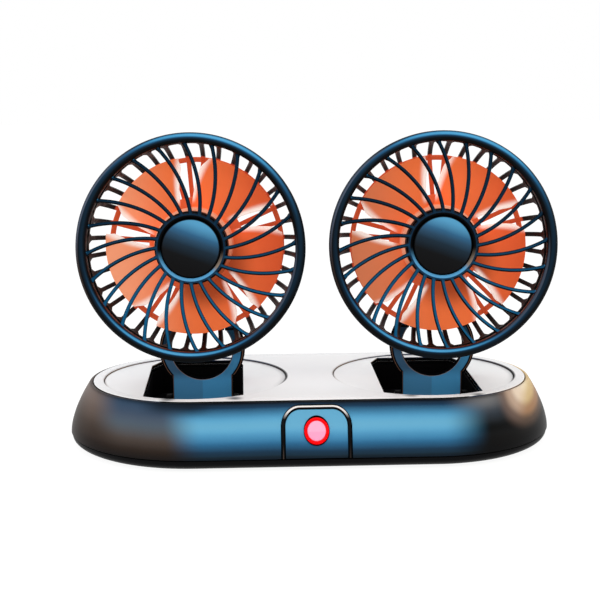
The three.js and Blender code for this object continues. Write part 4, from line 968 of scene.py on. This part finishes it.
screw = {"pitch": 0.55, "rootShare": 0.16, "tipShare": 0.5, "domeShare": 0.35, "recessShare": 0.5,
         "slotShares": (0.1, 0.2), "reachShares": (0.5, 0.6), "edge": 0.1}
baseScrew = {"head": 3.0, "headHeight": 1.0, "shank": 1.3, "length": 9.0}
coverScrew = {"head": 1.9, "headHeight": 0.9, "shank": 0.9, "length": 3.4}


def screwShape(size):
    # a pan head with a cross recess, and a threaded shank; along +Z from under its head
    head, high, shank, length = size["head"], size["headHeight"], size["shank"], size["length"]
    edge, angle = screw["edge"], np.linspace(0, 2 * pi, 48, endpoint=False)
    share = np.linspace(0, 1, 14)[:, None]
    radius = head * share
    across = np.minimum(np.abs(radius * np.cos(angle)), np.abs(radius * np.sin(angle)))
    cross = 1 - smoothStep(*screw["slotShares"], across / head)
    cross = cross * (1 - smoothStep(*screw["reachShares"], share))
    face = high * (screw["domeShare"] * share**4 - 1) + screw["recessShare"] * high * cross
    top = np.stack([radius * np.cos(angle), radius * np.sin(angle), face], -1)
    turns = np.linspace(edge, length, int(length / screw["pitch"] * 4))
    thread = np.stack([shank * (1 - screw["rootShare"] * (np.arange(len(turns)) % 4 == 2)), turns], -1)
    rim = [[head, -edge], [head - edge, 0], [shank, 0]]
    tip = [[shank * screw["tipShare"], length], [0, length]]
    rest = np.concatenate([rim, thread, tip])
    body = np.stack([rest[:, :1] * np.cos(angle), rest[:, :1] * np.sin(angle), rest[:, 1:] + 0 * angle], -1)
    return gridShape(np.concatenate([top, body]), closeColumns=True)


foot = {"radius": 6.0, "height": 1.1, "ring": 4.9, "hollow": 4.4, "hollowDepth": 0.06, "edge": 0.35}


def footShape():
    # a disc with a shallow hollow below; the matrix swaps Y and Z
    depth, high = foot["hollowDepth"], foot["height"]
    profile = rounded([[0, depth], [foot["hollow"], depth], [foot["ring"], 0], [foot["radius"], 0],
                       [foot["radius"], high], [0, high]], foot["edge"])
    return placed(turned(profile, 64), Matrix(((1, 0, 0, 0), (0, 0, 1, 0), (0, 1, 0, 0), (0, 0, 0, 1))))


button = {"ringWidth": 11.3, "ringHeight": 12.4, "ringWall": 1.25, "ringEdge": 0.3, "front": -0.6,
          "back": 3.2, "width": 8.5, "height": 9.4, "edge": 0.2, "capBack": 3.6,
          "dome": [[0, -1.0], [0.55, -0.98], [0.93, -0.78], [1, -0.4]]}


def buttonFrame():
    # on the wall at the button's height, Y pointing in, square to the wall's slope there
    reach, height = panel["slopeReach"], panel["button"]
    slope = np.arctan((wallRadius(height - reach) - wallRadius(height + reach)) / (2 * reach))
    return Matrix.Translation((0, -float(wallRadius(height)), height)) @ Matrix.Rotation(-slope, 4, "X")


def oval(profile, width, height, closed=False):
    # a turned profile whose radius of 1 becomes half the width and half the height
    points, faces = turned(profile, 96, closed)
    return points * [width / 2, 1, height / 2], faces


def socketShape():
    # a folded metal mouth with round ends, open to the back, with its flat tongue
    halfWidth, halfHeight, wall = socket["halfWidth"], socket["halfHeight"], socket["wall"]
    outer = box(-halfWidth, -halfHeight, halfWidth, halfHeight, socket["corner"], 8)
    inner = outer * [(halfWidth - wall) / halfWidth, (halfHeight - wall) / halfHeight]
    face = float(wallRadius(socket["rise"])) - socket["sunk"]
    loops = [(outer, socket["length"]), (outer, socket["outerEdge"]), ((outer * 5 + inner) / 6, 0),
             (inner, socket["innerEdge"]), (inner, socket["cavity"]),
             (inner * socket["closing"], socket["cavity"])]
    rows = [np.stack([outline[:, 0], np.full(len(outline), face - depth), outline[:, 1] + socket["rise"]], -1)
            for outline, depth in loops]
    reach, half, (deep, near) = socket["tongue"], socket["tongueThick"] / 2, socket["tongueDepth"]
    tongue = slab([box(-reach, -deep, reach, -near, socket["tongueCorner"], 3)], -half, half,
                  socket["tongueEdge"])
    return joined(capped(np.array(rows)), shifted(tongue, [0, face, socket["rise"]]))


def buildBase():
    shellLacquerAndLight, rubber, at = shellLacquerAndPaintedLight(), rubberFinish(), buttonFrame()
    markSunk(piece("base_upper_shell", upperShell(), shellLacquerAndLight, "base"))
    markSunk(piece("control_panel", frontPanel(), shellLacquerAndLight, "base", sharp=50))
    piece("panel_trim", archBead(), beadPlastic(), "base")
    piece("deck_plate", deckPlate(), deckMaterial, "base")
    piece("base_bottom_shell", bottomShell(), blackPlastic("blackPlastic", 0.42), "base")
    piece("power_socket", socketShape(), steel, "base")
    for depth, sideY in (("front", -1), ("back", 1)):
        for hand, sideX in hands:
            place = Matrix.Translation((*cornerPlace(*bottom["footPlace"], sideX, sideY), 0))
            piece(f"foot_{depth}_{hand}", footShape(), rubber, "base", place)
            x, y = cornerPlace(*bottom["screwPlace"], sideX, sideY)
            place = Matrix.Translation((x, y, bottom["screwRise"]))
            piece(f"base_screw_{depth}_{hand}", screwShape(baseScrew), steel, "base", place)
    red = litPlastic("ringRed", "ff0008", "fc0006", panel["button"], 0.1)
    pink = litPlastic("buttonPink", "ffacca", "ffa0c2", panel["button"], 0.05)
    wide, high = button["ringWidth"], button["ringHeight"]
    ring = box(1 - 2 * button["ringWall"] / wide, button["front"], 1, button["back"], button["ringEdge"], 5)
    piece("button_bezel", oval(ring, wide, high, closed=True), red, "base", at)
    cap = rounded([*button["dome"], [1, button["capBack"]], [0, button["capBack"]]], button["edge"])
    piece("power_button", oval(cap, button["width"], button["height"]), pink, "button", at)


# Turntable and fork

unit = {"yaw": -3.2, "neckOffset": 3.9, "setback": 4.0, "foldDepth": 13.0, "tiltHeight": 28.3,
        "headReach": 57.2, "hubHeight": 72.1, "tilt": 4.6}


def turntableFrame(side):
    turn = Matrix.Rotation(np.radians(unit["yaw"]), 4, "Z")
    return Matrix.Translation((side * base["spacing"] / 2, 0, 0)) @ turn


def forkFrame(side):
    return turntableFrame(side) @ Matrix.Translation((unit["neckOffset"], -unit["setback"], 0))


def headFrame(side):
    at = (unit["neckOffset"], -unit["headReach"], base["deckTop"] + unit["hubHeight"])
    return turntableFrame(side) @ Matrix.Translation(at) @ Matrix.Rotation(-np.radians(unit["tilt"]), 4, "X")


pocket = {"half": 23.6, "back": 39.6, "front": 43.4, "chamferLength": 11.0, "chamferWidth": 4.6,
          "corner": 0.6}


def pocketOutline(grow=0.0):
    # round at the front, with chamfered back corners, and square to the base while the fans stand at rest
    half, back, front = pocket["half"] + grow, pocket["back"] + grow, pocket["front"] + grow
    reach = np.degrees(np.arcsin(half / front))
    shoulder, corner = back - pocket["chamferLength"], half - pocket["chamferWidth"]
    sides = rounded([[half, 0], [half, shoulder], [corner, back], [-corner, back], [-half, shoulder],
                     [-half, 0]], pocket["corner"])
    c, s = np.cos(np.radians(unit["yaw"])), np.sin(np.radians(unit["yaw"]))
    return np.concatenate([arc(front, -90 - reach, -90 + reach, 48), sides]) @ np.array([[c, -s], [s, c]])


disc = {"radius": 45.0, "drop": 0.6, "edge": 0.3, "overlap": 0.2, "flange": 2.6, "flangeRadius": 47.5,
        "flangeThick": 1.6, "flangeEdge": 0.1}


def turntableDisc():
    top, flange = base["deckTop"] - disc["drop"], base["deckTop"] - disc["flange"]
    plate = slab([circle(disc["radius"], 160), pocketOutline()], flange - disc["overlap"], top, disc["edge"])
    skirt = slab([circle(disc["flangeRadius"]), pocketOutline()], flange - disc["flangeThick"], flange,
                 disc["flangeEdge"], 1)
    return joined(plate, skirt)


tub = {"depth": 18.0, "wall": 1.4, "rim": 4.5, "lift": 0.1, "edge": 0.25, "floorEdge": 0.2, "gap": 0.05,
       "overlap": 0.3, "earRadius": 5.0, "earInner": 15.2, "earOuter": 18.2, "earEdge": 0.3, "pinHole": 1.9,
       "tabReach": 35.0, "tabWidth": 16.0, "tabThick": 2.0, "tabOverlap": 0.5, "tabCorner": 1.2,
       "screwPlace": 30.0, "screwHole": 1.2, "stub": 6.0, "stubLow": 3.2, "wireHole": 2.6}


def pivotTub():
    # open above, with two ears for the fold pin, two screw tabs and the hollow stub that the swivel turns on
    wall, edge, over = tub["wall"], tub["edge"], tub["overlap"]
    fold, high = base["deckTop"] - unit["foldDepth"], base["deckTop"] - tub["rim"]
    floor = base["deckTop"] - tub["depth"]
    low = floor - wall
    stub = turned(box(tub["wireHole"], tub["stubLow"], tub["stub"], low + over, edge), 64, True)
    outlines = [pocketOutline(wall - tub["gap"]), circle(tub["wireHole"], 48)]
    shapes = [slab([pocketOutline(wall), pocketOutline()], low + tub["lift"], high, edge),
              slab(outlines, low, floor, tub["floorEdge"], 2), placed(stub, alongZ)]
    ear = np.concatenate([arc(tub["earRadius"], 0, 180, 40, 0, fold),
                          [[-tub["earRadius"], floor - over], [tub["earRadius"], floor - over]]])
    half = tub["tabWidth"] / 2
    for side in (-1, 1):
        inner, outer = sorted((side * tub["earInner"], side * tub["earOuter"]))
        points, faces = slab([ear, circle(tub["pinHole"], 40, 0, fold)], inner, outer, tub["earEdge"])
        points = points[:, [2, 0, 1]] + [unit["neckOffset"], -unit["setback"], 0]
        start, end = sorted((side * (pocket["half"] + wall - tub["tabOverlap"]), side * tub["tabReach"]))
        tab = box(start, -half, end, half, tub["tabCorner"], 5)
        hole = circle(tub["screwHole"], 32, side * tub["screwPlace"])
        shapes += [(points, faces), slab([tab, hole], high - tub["tabThick"], high, edge)]
    return joined(*shapes)


fork = {"thickness": 4.4, "edge": 0.45, "neck": 29.6, "outer": 21.0, "inner": 15.1, "ringHeight": 15.2,
        "barrel": 3.2, "barrelHole": 2.0, "eye": 4.2, "eyeHole": 1.9, "eyeInner": 11.4}


def forkShape():
    # a neck with a hinge barrel below, an open ring above it, and an eye at each of the ring's two ends
    top, outer, inner, eyeInner = base["deckTop"], fork["outer"], fork["inner"], fork["eyeInner"]
    centre, tilt, fold = top + fork["ringHeight"], top + unit["tiltHeight"], top - unit["foldDepth"]
    half, low = fork["neck"] / 2, fold - fork["barrel"]
    shoulder = np.degrees(np.arccos(half / outer))
    outerEnd = np.degrees(np.arcsin((tilt - centre) / outer))
    innerEnd = np.degrees(np.arccos(eyeInner / inner))
    outline = np.concatenate([
        [[-half, low], [half, low]],
        arc(outer, -shoulder, outerEnd, 40, 0, centre),
        [[eyeInner, tilt]],
        arc(inner, innerEnd, -180 - innerEnd, 72, 0, centre),
        [[-eyeInner, tilt]],
        arc(outer, 180 - outerEnd, 180 + shoulder, 40, 0, centre),
    ])
    points, faces = slab([outline], -fork["thickness"] / 2, fork["thickness"] / 2, fork["edge"])
    shapes = [(np.stack([points[:, 0], -points[:, 2], points[:, 1]], -1), faces)]
    shapes.append(sleeve(fork["barrelHole"], fork["barrel"], -half, half, 0, fold))
    outerX = np.sqrt(outer**2 - (tilt - centre) ** 2)
    for start, end in ((-outerX, -eyeInner), (eyeInner, outerX)):
        shapes.append(sleeve(fork["eyeHole"], fork["eye"], start, end, 0, tilt))
    return joined(*shapes)


pin = {"radius": 1.6, "edge": 0.3, "fold": 36.4, "tilt": 32.8}


def pinShape(length, height):
    half, radius = length / 2, pin["radius"]
    profile = rounded([[0, -half], [radius, -half], [radius, half], [0, half]], pin["edge"])
    return shifted(placed(turned(profile, 40), alongX), [0, 0, base["deckTop"] + height])


# Head

guard = {
    "radius": 51.7, "width": 4.7, "round": 2.6, "crest": 0.3, "mouthRound": 2.4, "mouthDepth": 4.8,
    "wall": 2.1, "depth": 9.0, "draft": 1.8, "draftStart": 0.4, "edge": 0.3, "ribs": 24, "ribWidth": 1.75,
    "ribDepth": 2.4, "ribBack": 3.6, "ribRoot": 1.0, "ribTip": 0.7, "flare": 0.5, "rootShare": 0.06,
    "tipShare": 0.93, "sweep": 19.0, "turn": -0.8, "hub": 15.8, "hubWall": 2.2, "hubBack": 2.3,
    "hubDepth": 4.4, "hubFloor": 1.5, "hubChamfer": 1.0, "hubFace": 0.4, "hubRound": 0.9, "hubSide": 2.2,
    "skirt": 16.6, "skirtStart": 2.9, "hubEdge": 0.35,
}
guardMouth = guard["radius"] - guard["width"]


def rimSection():
    # a quarter round outside, a narrow crest, a fuller round into the mouth, and a skirt behind that draws in
    # toward the back
    radius, bend, depth, deep = guard["radius"], guard["round"], guard["depth"], guard["mouthRound"]
    outside = arc(bend, 0, 90, 14, radius - bend, 0) * [1, -1] + [0, bend]
    crest, back = radius - bend - guard["crest"], radius - guard["draft"]
    inward = arc(1, 90, 172, 14) * [crest - guardMouth, -deep] + [crest, deep]
    behind = rounded([inward[-1], [guardMouth, guard["mouthDepth"]], [back - guard["wall"], depth],
                      [back, depth], [radius, bend + guard["draftStart"]]], guard["edge"])
    return np.concatenate([outside, inward[:-1], behind])


def hubSection():
    # a floor, the dish's chamfered wall, the hub ring's face, and a wider skirt behind it
    front, outer, skirt, chamfer = guard["hubBack"], guard["hub"], guard["skirt"], guard["hubChamfer"]
    back, inner = front + guard["hubDepth"], outer - guard["hubWall"]
    floor, face = back - guard["hubFloor"], inner + chamfer
    return rounded([[0, floor], [inner, floor], [inner, front + chamfer], [face, front],
                    [face + guard["hubFace"], front], [outer, front + guard["hubRound"]],
                    [outer, front + guard["hubSide"]], [skirt, front + guard["skirtStart"]], [skirt, back],
                    [0, back]], guard["hubEdge"])


def frontGuardShape():
    # rim, hub, and ribs that sweep round as they run outward and flare at both ends
    shapes = [turned(rimSection(), 192, True), turned(hubSection(), 128)]
    share = np.linspace(0, 1, 34)
    start, end = guard["hub"] - guard["ribRoot"], guardMouth + guard["ribTip"]
    radius = start + (end - start) * share
    wider = 1 - smoothStep(0, guard["rootShare"], share) + smoothStep(guard["tipShare"], 1, share)
    flare = 1 + guard["flare"] * wider
    section = circle(1, 14) * [guard["ribWidth"] / 2, guard["ribDepth"] / 2]
    sections = section[None] * np.stack([flare, np.ones_like(flare)], -1)[:, None]
    up = np.broadcast_to([0.0, 1.0, 0.0], (len(share), 3))
    for i in range(guard["ribs"]):
        angle = np.radians(guard["turn"] + 360 / guard["ribs"] * i + guard["sweep"] * share)
        path = np.stack([radius * np.cos(angle), 0 * angle + guard["ribBack"], radius * np.sin(angle)], -1)
        shapes.append(swept(path, np.cross(up, unitLength(np.gradient(path, axis=0))), up, sections))
    return joined(*shapes)


cap = {"gap": 0.5, "seat": 1.8, "side": 2.0, "dome": 1.5, "edge": 0.4, "start": 0.02}


def hubCapShape():
    radius = guard["hub"] - guard["hubWall"] - cap["gap"]
    back = guard["hubBack"] + guard["hubDepth"] - cap["seat"]
    edge = back - cap["side"]
    share = np.linspace(0, 1, 28)
    dome = np.stack([radius * share, edge - cap["dome"] * (1 - share**2)], -1)
    skirt = rounded([dome[-2], [radius, edge + cap["start"]], [radius, back], [0, back]], cap["edge"], 5)
    return turned(np.concatenate([dome[:-2], skirt]), 128)


rear = {"ribs": 36, "ribWidth": 2.07, "ribShade": 0.15, "ribRound": 0.3, "ribBend": 2.6, "bow": 1.4,
        "flare": 2.0, "flareShare": 0.6, "flareLength": 4.5, "back": 37.0, "thick": 2.1, "ring": 41.3,
        "ringWidth": 2.4, "plate": 22.6, "plateOverlap": 0.6, "gap": 0.3, "rimDepth": 2.6, "rimInset": 0.2,
        "ribInset": 1.4, "ribStart": 0.4, "motor": 12.3, "socketWall": 1.6, "socketDepth": 7.0, "edge": 0.5,
        "plateEdge": 0.4}


def finShape():
    # one fin in its own radial plane, from the rim down the bowl's bowed side and in to the motor plate;
    # it widens with a fillet where it meets the rim
    middle = rear["thick"] / 2
    start, floor = guard["depth"] + rear["gap"] + rear["ribStart"], rear["back"] - middle
    share = np.linspace(0, 1, 22)
    rimRadius = guard["radius"] - guard["draft"] - rear["ribInset"]
    ringRadius = rear["ring"] - rear["ringWidth"] / 2
    side = np.stack([rimRadius + (ringRadius - rimRadius) * share + rear["bow"] * np.sin(pi * share),
                     start + (floor - start) * share], -1)
    line = rounded([*side[::3], [rear["plate"] - rear["plateOverlap"], floor]], rear["ribBend"])
    path = np.stack([line[:, 0], line[:, 1], np.zeros(len(line))], -1)
    along = unitLength(np.gradient(path, axis=0))
    sideways = np.broadcast_to([0.0, 0.0, 1.0], along.shape)
    length = np.concatenate([[0], np.cumsum(np.linalg.norm(np.diff(path, axis=0), axis=1))])
    deep = rear["rimDepth"]
    straight = smoothStep(deep * rear["flareShare"], deep + rear["flareLength"], length)
    wide = rear["ribWidth"] / 2 + rear["flare"] * (1 - straight)
    thick = np.full_like(wide, middle - rear["ribShade"])
    sections = box(-1, -1, 1, 1, rear["ribRound"], 3)[None] * np.stack([wide, thick], -1)[:, None]
    return swept(path, sideways, np.cross(along, sideways), sections)


def rearGuardShape():
    # a ring behind the front guard's rim, fins, a ring at the back, and the plate with the motor's socket
    rimFace, back, front = guard["depth"] + rear["gap"], rear["back"], rear["back"] - rear["thick"]
    rimOuter = guard["radius"] - guard["draft"] - rear["rimInset"]
    rim = box(guardMouth, rimFace, rimOuter, rimFace + rear["rimDepth"], rear["edge"])
    ring = box(rear["ring"] - rear["ringWidth"], front, rear["ring"], back, rear["edge"])
    inner, outer, deep = rear["motor"], rear["motor"] + rear["socketWall"], back - rear["socketDepth"]
    plate = rounded([[inner, deep], [outer, deep], [outer, front], [rear["plate"], front],
                     [rear["plate"], back], [inner, back]], rear["plateEdge"], 3, True)
    shapes = [turned(rim, 144, True), turned(ring, 144, True), turned(plate, 128, True)]
    fin = finShape()
    for i in range(rear["ribs"]):
        shapes.append(placed(fin, Matrix.Rotation(-2 * pi * (i + 0.5) / rear["ribs"], 4, "Y")))
    return joined(*shapes)


blades = {"count": 5, "tip": 41.0, "hub": 18.0, "span": 59.0, "sweep": -12.0, "turn": 66.0, "thick": 1.4,
          "front": 19.0, "depth": 10.5, "flatten": 3.0, "curl": 0.9, "thinShare": 0.3, "tipShare": 0.8,
          "trimShare": 0.1, "root": 0.7, "cupFront": 14.0, "cupDepth": 15.6, "cupWall": 1.5, "cupEdge": 0.6,
          "edgeShares": (0.78, 0.96), "edgeRise": (1, 5)}


def impellerShape():
    # a cup, and blades that are sheets over radius and chord and slope back along the chord; the two faces of
    # a blade close at rounded edges, and its corners at the tip are cut back a little
    outer, inner, root = blades["hub"], blades["hub"] - blades["cupWall"], blades["hub"] - blades["root"]
    front, back, floor = (blades["cupFront"] + step for step in (0, blades["cupDepth"], blades["cupWall"]))
    cup = rounded([[0, front], [inner, front], [outer, floor], [outer, back], [inner, back], [inner, floor],
                   [0, floor]], blades["cupEdge"], 5)
    shapes = [turned(cup, 128)]
    reach = np.linspace(0, 1, 30)[:, None]
    around = np.linspace(0, 2 * pi, 96, endpoint=False)
    chord = 0.5 - 0.5 * np.cos(around)  # once along the front face and back along the rear face
    face = np.sin(around)
    lift = np.sign(face) * np.minimum(1, np.abs(face) * 5) ** 0.6 * blades["thick"] / 2
    radius = root + (blades["tip"] - root) * reach
    trim = 1 - blades["trimShare"] * smoothStep(blades["tipShare"], 1.0, reach)
    slope = blades["depth"] - blades["flatten"] * reach
    middle = blades["front"] + blades["depth"] / 2
    along = middle + slope * (chord - 0.5) - blades["curl"] * np.sin(pi * chord)
    along = along + lift * (1 - blades["thinShare"] * reach)
    for i in range(blades["count"]):
        start = blades["turn"] + 360 / blades["count"] * i
        angle = np.radians(start + blades["span"] * (chord - 0.5) * trim + blades["sweep"] * reach)
        shapes.append(capped(np.stack([radius * np.cos(angle), along, radius * np.sin(angle)], -1)))
    return joined(*shapes)


def markEdges(obj):
    # the attribute "edge" is 1 at a blade's leading and trailing edges and 0 over its middle
    place = np.zeros(len(obj.data.vertices) * 3)
    obj.data.attributes["place"].data.foreach_get("vector", place)
    x, _, z = place.reshape(-1, 3).T
    radius, pitch, hub = np.hypot(x, z), 360 / blades["count"], blades["hub"]
    reach = np.clip((radius - hub) / (blades["tip"] - hub), 0, 1)
    angle = np.degrees(np.arctan2(z, x)) - blades["turn"] - blades["sweep"] * reach
    share = np.abs((angle + pitch / 2) % pitch - pitch / 2) / (blades["span"] / 2)
    rise = smoothStep(*blades["edgeRise"], radius - hub)
    mark(obj.data, "edge", smoothStep(*blades["edgeShares"], share) * rise)


cover = {"front": 37.3, "radius": 17.0, "flange": 21.6, "flangeThick": 1.8, "depth": 9.0, "round": 2.5,
         "wall": 1.6, "edge": 0.5, "groove": ((10.2, 0), (9.8, 0.5), (9.2, 0.5), (8.8, 0)), "arm": 14.0,
         "armThick": 6.0, "armRoot": 0.6, "armRise": 1.5, "armDrop": 6.0, "armBend": 2.2, "armEdge": 0.8,
         "armEnd": ((-3.4, 2.0), (-1.5, -2.5), (1.8, -1.5), (2.6, 2.6)), "knuckle": 4.0, "knuckleHole": 1.9,
         "knuckleHalf": 11.0, "screwPlace": 19.2, "screwSeat": 2.1}


def motorCoverShape():
    # a flanged cup with a ring groove in its back, and below it the arm whose knuckle sits on the tilt pin
    front, back, outer = cover["front"], cover["front"] + cover["depth"], cover["radius"]
    inner, flange, shoulder = outer - cover["wall"], cover["flange"], front + cover["flangeThick"]
    groove = [[radius, back - depth] for radius, depth in cover["groove"]]
    profile = rounded([[inner, front], [flange, front], [flange, shoulder], [outer, shoulder],
                       [outer, back - cover["round"]], [outer - cover["round"], back], *groove, [0, back]],
                      cover["edge"])
    inside = [[0, back - cover["wall"]], [inner, back - cover["wall"]], [inner, front]]
    cup = turned(np.concatenate([profile, inside]), 128)
    toPin = Vector((0, unit["headReach"] - unit["setback"], unit["tiltHeight"] - unit["hubHeight"]))
    toPin = Matrix.Rotation(np.radians(unit["tilt"]), 4, "X") @ toPin
    rootLow, rootBack = cover["round"] - outer, back - cover["armRoot"]
    rootFront = rootBack - cover["armThick"]
    end = [[toPin.y + y, toPin.z + z] for y, z in cover["armEnd"]]
    side = rounded([[rootFront, rootLow], [rootFront, rootLow - cover["armDrop"]], *end,
                    [rootBack, rootLow - cover["armRise"]], [rootBack, rootLow]], cover["armBend"], 6, True)
    points, faces = slab([side], -cover["arm"] / 2, cover["arm"] / 2, cover["armEdge"], 4)
    arm = np.stack([points[:, 2], points[:, 0], points[:, 1]], -1), faces
    half = cover["knuckleHalf"]
    return joined(cup, arm, sleeve(cover["knuckleHole"], cover["knuckle"], -half, half, toPin.y, toPin.z))


def buildFan(prefix, side):
    table, forkAt, head = turntableFrame(side), forkFrame(side), headFrame(side)
    foldPin, tiltPin = pinShape(pin["fold"], -unit["foldDepth"]), pinShape(pin["tilt"], unit["tiltHeight"])
    rows = (
        ("turntable_disc", turntableDisc(), deckMaterial, "turntable", "deck_plastic", table),
        ("pivot_tub", pivotTub(), looks["tub"], "turntable", "tub_plastic", table),
        ("fork", forkShape(), looks["fork"], "fork", "fork_paint", forkAt),
        ("fold_pin", foldPin, steel, "turntable", "steel", forkAt),
        ("tilt_pin", tiltPin, steel, "fork", "steel", forkAt),
        ("front_guard", frontGuardShape(), looks["guard"], "head", "guard_paint", head),
        ("hub_cap", hubCapShape(), looks["cap"], "head", "guard_paint", head),
        ("rear_guard", rearGuardShape(), looks["rear"], "head", "rear_guard_plastic", head),
        ("motor_cover", motorCoverShape(), looks["cover"], "head", "tub_plastic", head),
        ("impeller", impellerShape(), looks["blade"], "rotor", "impeller_plastic", head),
    )
    made = {}
    for name, shape, material, body, slotName, at in rows:
        made[name] = piece(f"{prefix}_{name}", shape, material, f"{prefix}_{body}", at)
    markEdges(made["impeller"])
    for hand, sign in hands:
        seat = Matrix.Translation((sign * cover["screwPlace"], cover["front"] + cover["screwSeat"], 0))
        piece(f"{prefix}_cover_screw_{hand}", screwShape(coverScrew), steel, f"{prefix}_head",
              head @ seat @ alongZ)
    print("fan built:", prefix)


# Carried-over pieces


def dressNodes():
    # hidden or plain pieces keep their own shape and get a finish
    acetal = satinPlastic("acetal", (0.74, 0.71, 0.63), 0.4)
    board = satinPlastic("boardGreen", (0.015, 0.09, 0.035), 0.35)
    for name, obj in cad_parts.items():
        if obj.hide_render:
            continue
        chosen = looks["tub"]
        if "bushing" in name:
            chosen = acetal
        elif "board" in name and "screw" not in name:
            chosen = board
        elif "screw" in name or "pin" in name or "motor" in name:
            chosen = steel
        obj.data.materials.clear()
        obj.data.materials.append(chosen)


# Camera, light and floor

# metres and degrees, found from the photograph; the eye's height is above the deck
view = {"azimuth": 2.53, "pitch": 9.98, "roll": -0.34, "lens": 78, "sensor": 36, "clip": (0.05, 20),
        "eye": (-0.03274, -0.63465, 0.14983)}


def buildCamera():
    # distance, aim and roll give both fans and the base their size and slant in the photograph
    azimuth, pitch, roll = (np.radians(view[key]) for key in ("azimuth", "pitch", "roll"))
    look = np.array([np.sin(azimuth) * np.cos(pitch), np.cos(azimuth) * np.cos(pitch), -np.sin(pitch)])
    right = np.array([np.cos(azimuth), -np.sin(azimuth), 0])
    up = np.cross(right, look)
    turnedRight = right * np.cos(roll) + up * np.sin(roll)
    turnedUp = up * np.cos(roll) - right * np.sin(roll)
    data = bpy.data.cameras.new("camera")
    data.lens, data.sensor_width = view["lens"], view["sensor"]
    data.clip_start, data.clip_end = view["clip"]
    camera = bpy.data.objects.new("camera", data)
    matrix = np.eye(4)
    matrix[:3, :3] = np.stack([turnedRight, turnedUp, -look], -1)
    matrix[:3, 3] = view["eye"] + np.array([0, 0, base["deckTop"] * mm])
    camera.matrix_world = Matrix(matrix)
    bpy.context.scene.collection.objects.link(camera)
    bpy.context.scene.camera = camera


lights = [  # name, place, aim, width, height, watts, colour
    ("front", (-0.1, -0.95, 0.75), (0, 0, 0.06), 1.1, 0.45, 2.6, (1, 1, 1)),
    ("overhead", (0, -0.1, 1.1), (0, 0, 0.08), 1.2, 0.7, 3.5, (1, 1, 1)),
    ("warm", (0.9, -0.35, 0.55), (0.1, 0, 0.03), 0.35, 0.35, 1.2, (1, 0.84, 0.55)),
    ("left", (-0.95, -0.3, 0.5), (0, 0, 0.06), 0.4, 0.5, 1.2, (1, 0.97, 0.95)),
]


def buildLights():
    for name, place, aim, width, height, watts, colour in lights:
        data = bpy.data.lights.new(name, "AREA")
        data.shape, data.size, data.size_y = "RECTANGLE", width, height
        data.energy, data.color = watts, colour
        lamp = bpy.data.objects.new(name, data)
        lamp.location = place
        lamp.rotation_euler = (Vector(aim) - Vector(place)).to_track_quat("-Z", "Y").to_euler()
        bpy.context.scene.collection.objects.link(lamp)


studio = {"light": (0.97, 0.985, 1, 1), "strength": 0.76, "white": (1, 1, 1, 1), "floorHalf": 4.0,
          "floor": (0.9, 0.9, 0.9, 1), "floorGlow": 1.12, "floorShare": 0.82}


def seenRays(tree):
    # 1 for rays from the camera and for rays through gloss or glass
    path = tree.nodes.new("ShaderNodeLightPath")
    total = path.outputs["Is Camera Ray"]
    for name in ("Is Glossy Ray", "Is Transmission Ray"):
        plus = tree.nodes.new("ShaderNodeMath")
        plus.operation, plus.use_clamp = "ADD", True
        tree.links.new(total, plus.inputs[0])
        tree.links.new(path.outputs[name], plus.inputs[1])
        total = plus.outputs[0]
    return total


def mixShaders(tree, share, first, second, surface):
    mix = tree.nodes.new("ShaderNodeMixShader")
    for i, output in enumerate((share, first.outputs[0], second.outputs[0])):
        tree.links.new(output, mix.inputs[i])
    tree.links.new(mix.outputs[0], tree.nodes[surface].inputs["Surface"])


def buildWorld():
    # a plain pale light for the part, and white where the camera sees past it
    world = bpy.data.worlds.new("studio")
    bpy.context.scene.world = world
    world.use_nodes = True
    tree = world.node_tree
    plain, white = tree.nodes["Background"], tree.nodes.new("ShaderNodeBackground")
    kinds = (plain, studio["light"], studio["strength"]), (white, studio["white"], 1.0)
    for node, colour, strength in kinds:
        node.inputs["Color"].default_value, node.inputs["Strength"].default_value = colour, strength
    mixShaders(tree, seenRays(tree), plain, white, "World Output")


def buildFloor():
    size = studio["floorHalf"]
    corners = [(-size, -size, 0), (size, -size, 0), (size, size, 0), (-size, size, 0)]
    mesh = bpy.data.meshes.new("floor")
    mesh.from_pydata(corners, [], [(0, 1, 2, 3)])
    floor = bpy.data.objects.new("floor", mesh)
    bpy.context.scene.collection.objects.link(floor)
    m = Finish("floorPaper", Base_Color=studio["floor"], Roughness=0.9, Specular_IOR_Level=0.1)
    glow = m.add("Emission", None, {"Strength": studio["floorGlow"]}).socket.node
    share = Field(m, seenRays(m.tree)) * studio["floorShare"]
    mixShaders(m.tree, share.socket, m.shader, glow, "Material Output")
    mesh.materials.append(m.material)


steel, deckMaterial = steelFinish(), deckPlastic()
looks = {"fork": forkLacquerAndPaintedLight(), "guard": guardLacquerAndPaintedLight(), "cap": capLacquerAndPaintedLight(), "rear": rearPlastic(),
         "blade": bladePlastic(), "cover": blackPlastic("coverPlastic", 0.4),
         "tub": blackPlastic("tubPlastic", 0.5, 0.02)}
buildCamera()
buildLights()
buildWorld()
buildFloor()
print("studio ready")
buildBase()
print("base built")
for prefix, side in hands:
    buildFan(prefix, side)
dressNodes()
print("finishes set")
scene = bpy.context.scene
scene.view_settings.view_transform = "Standard"
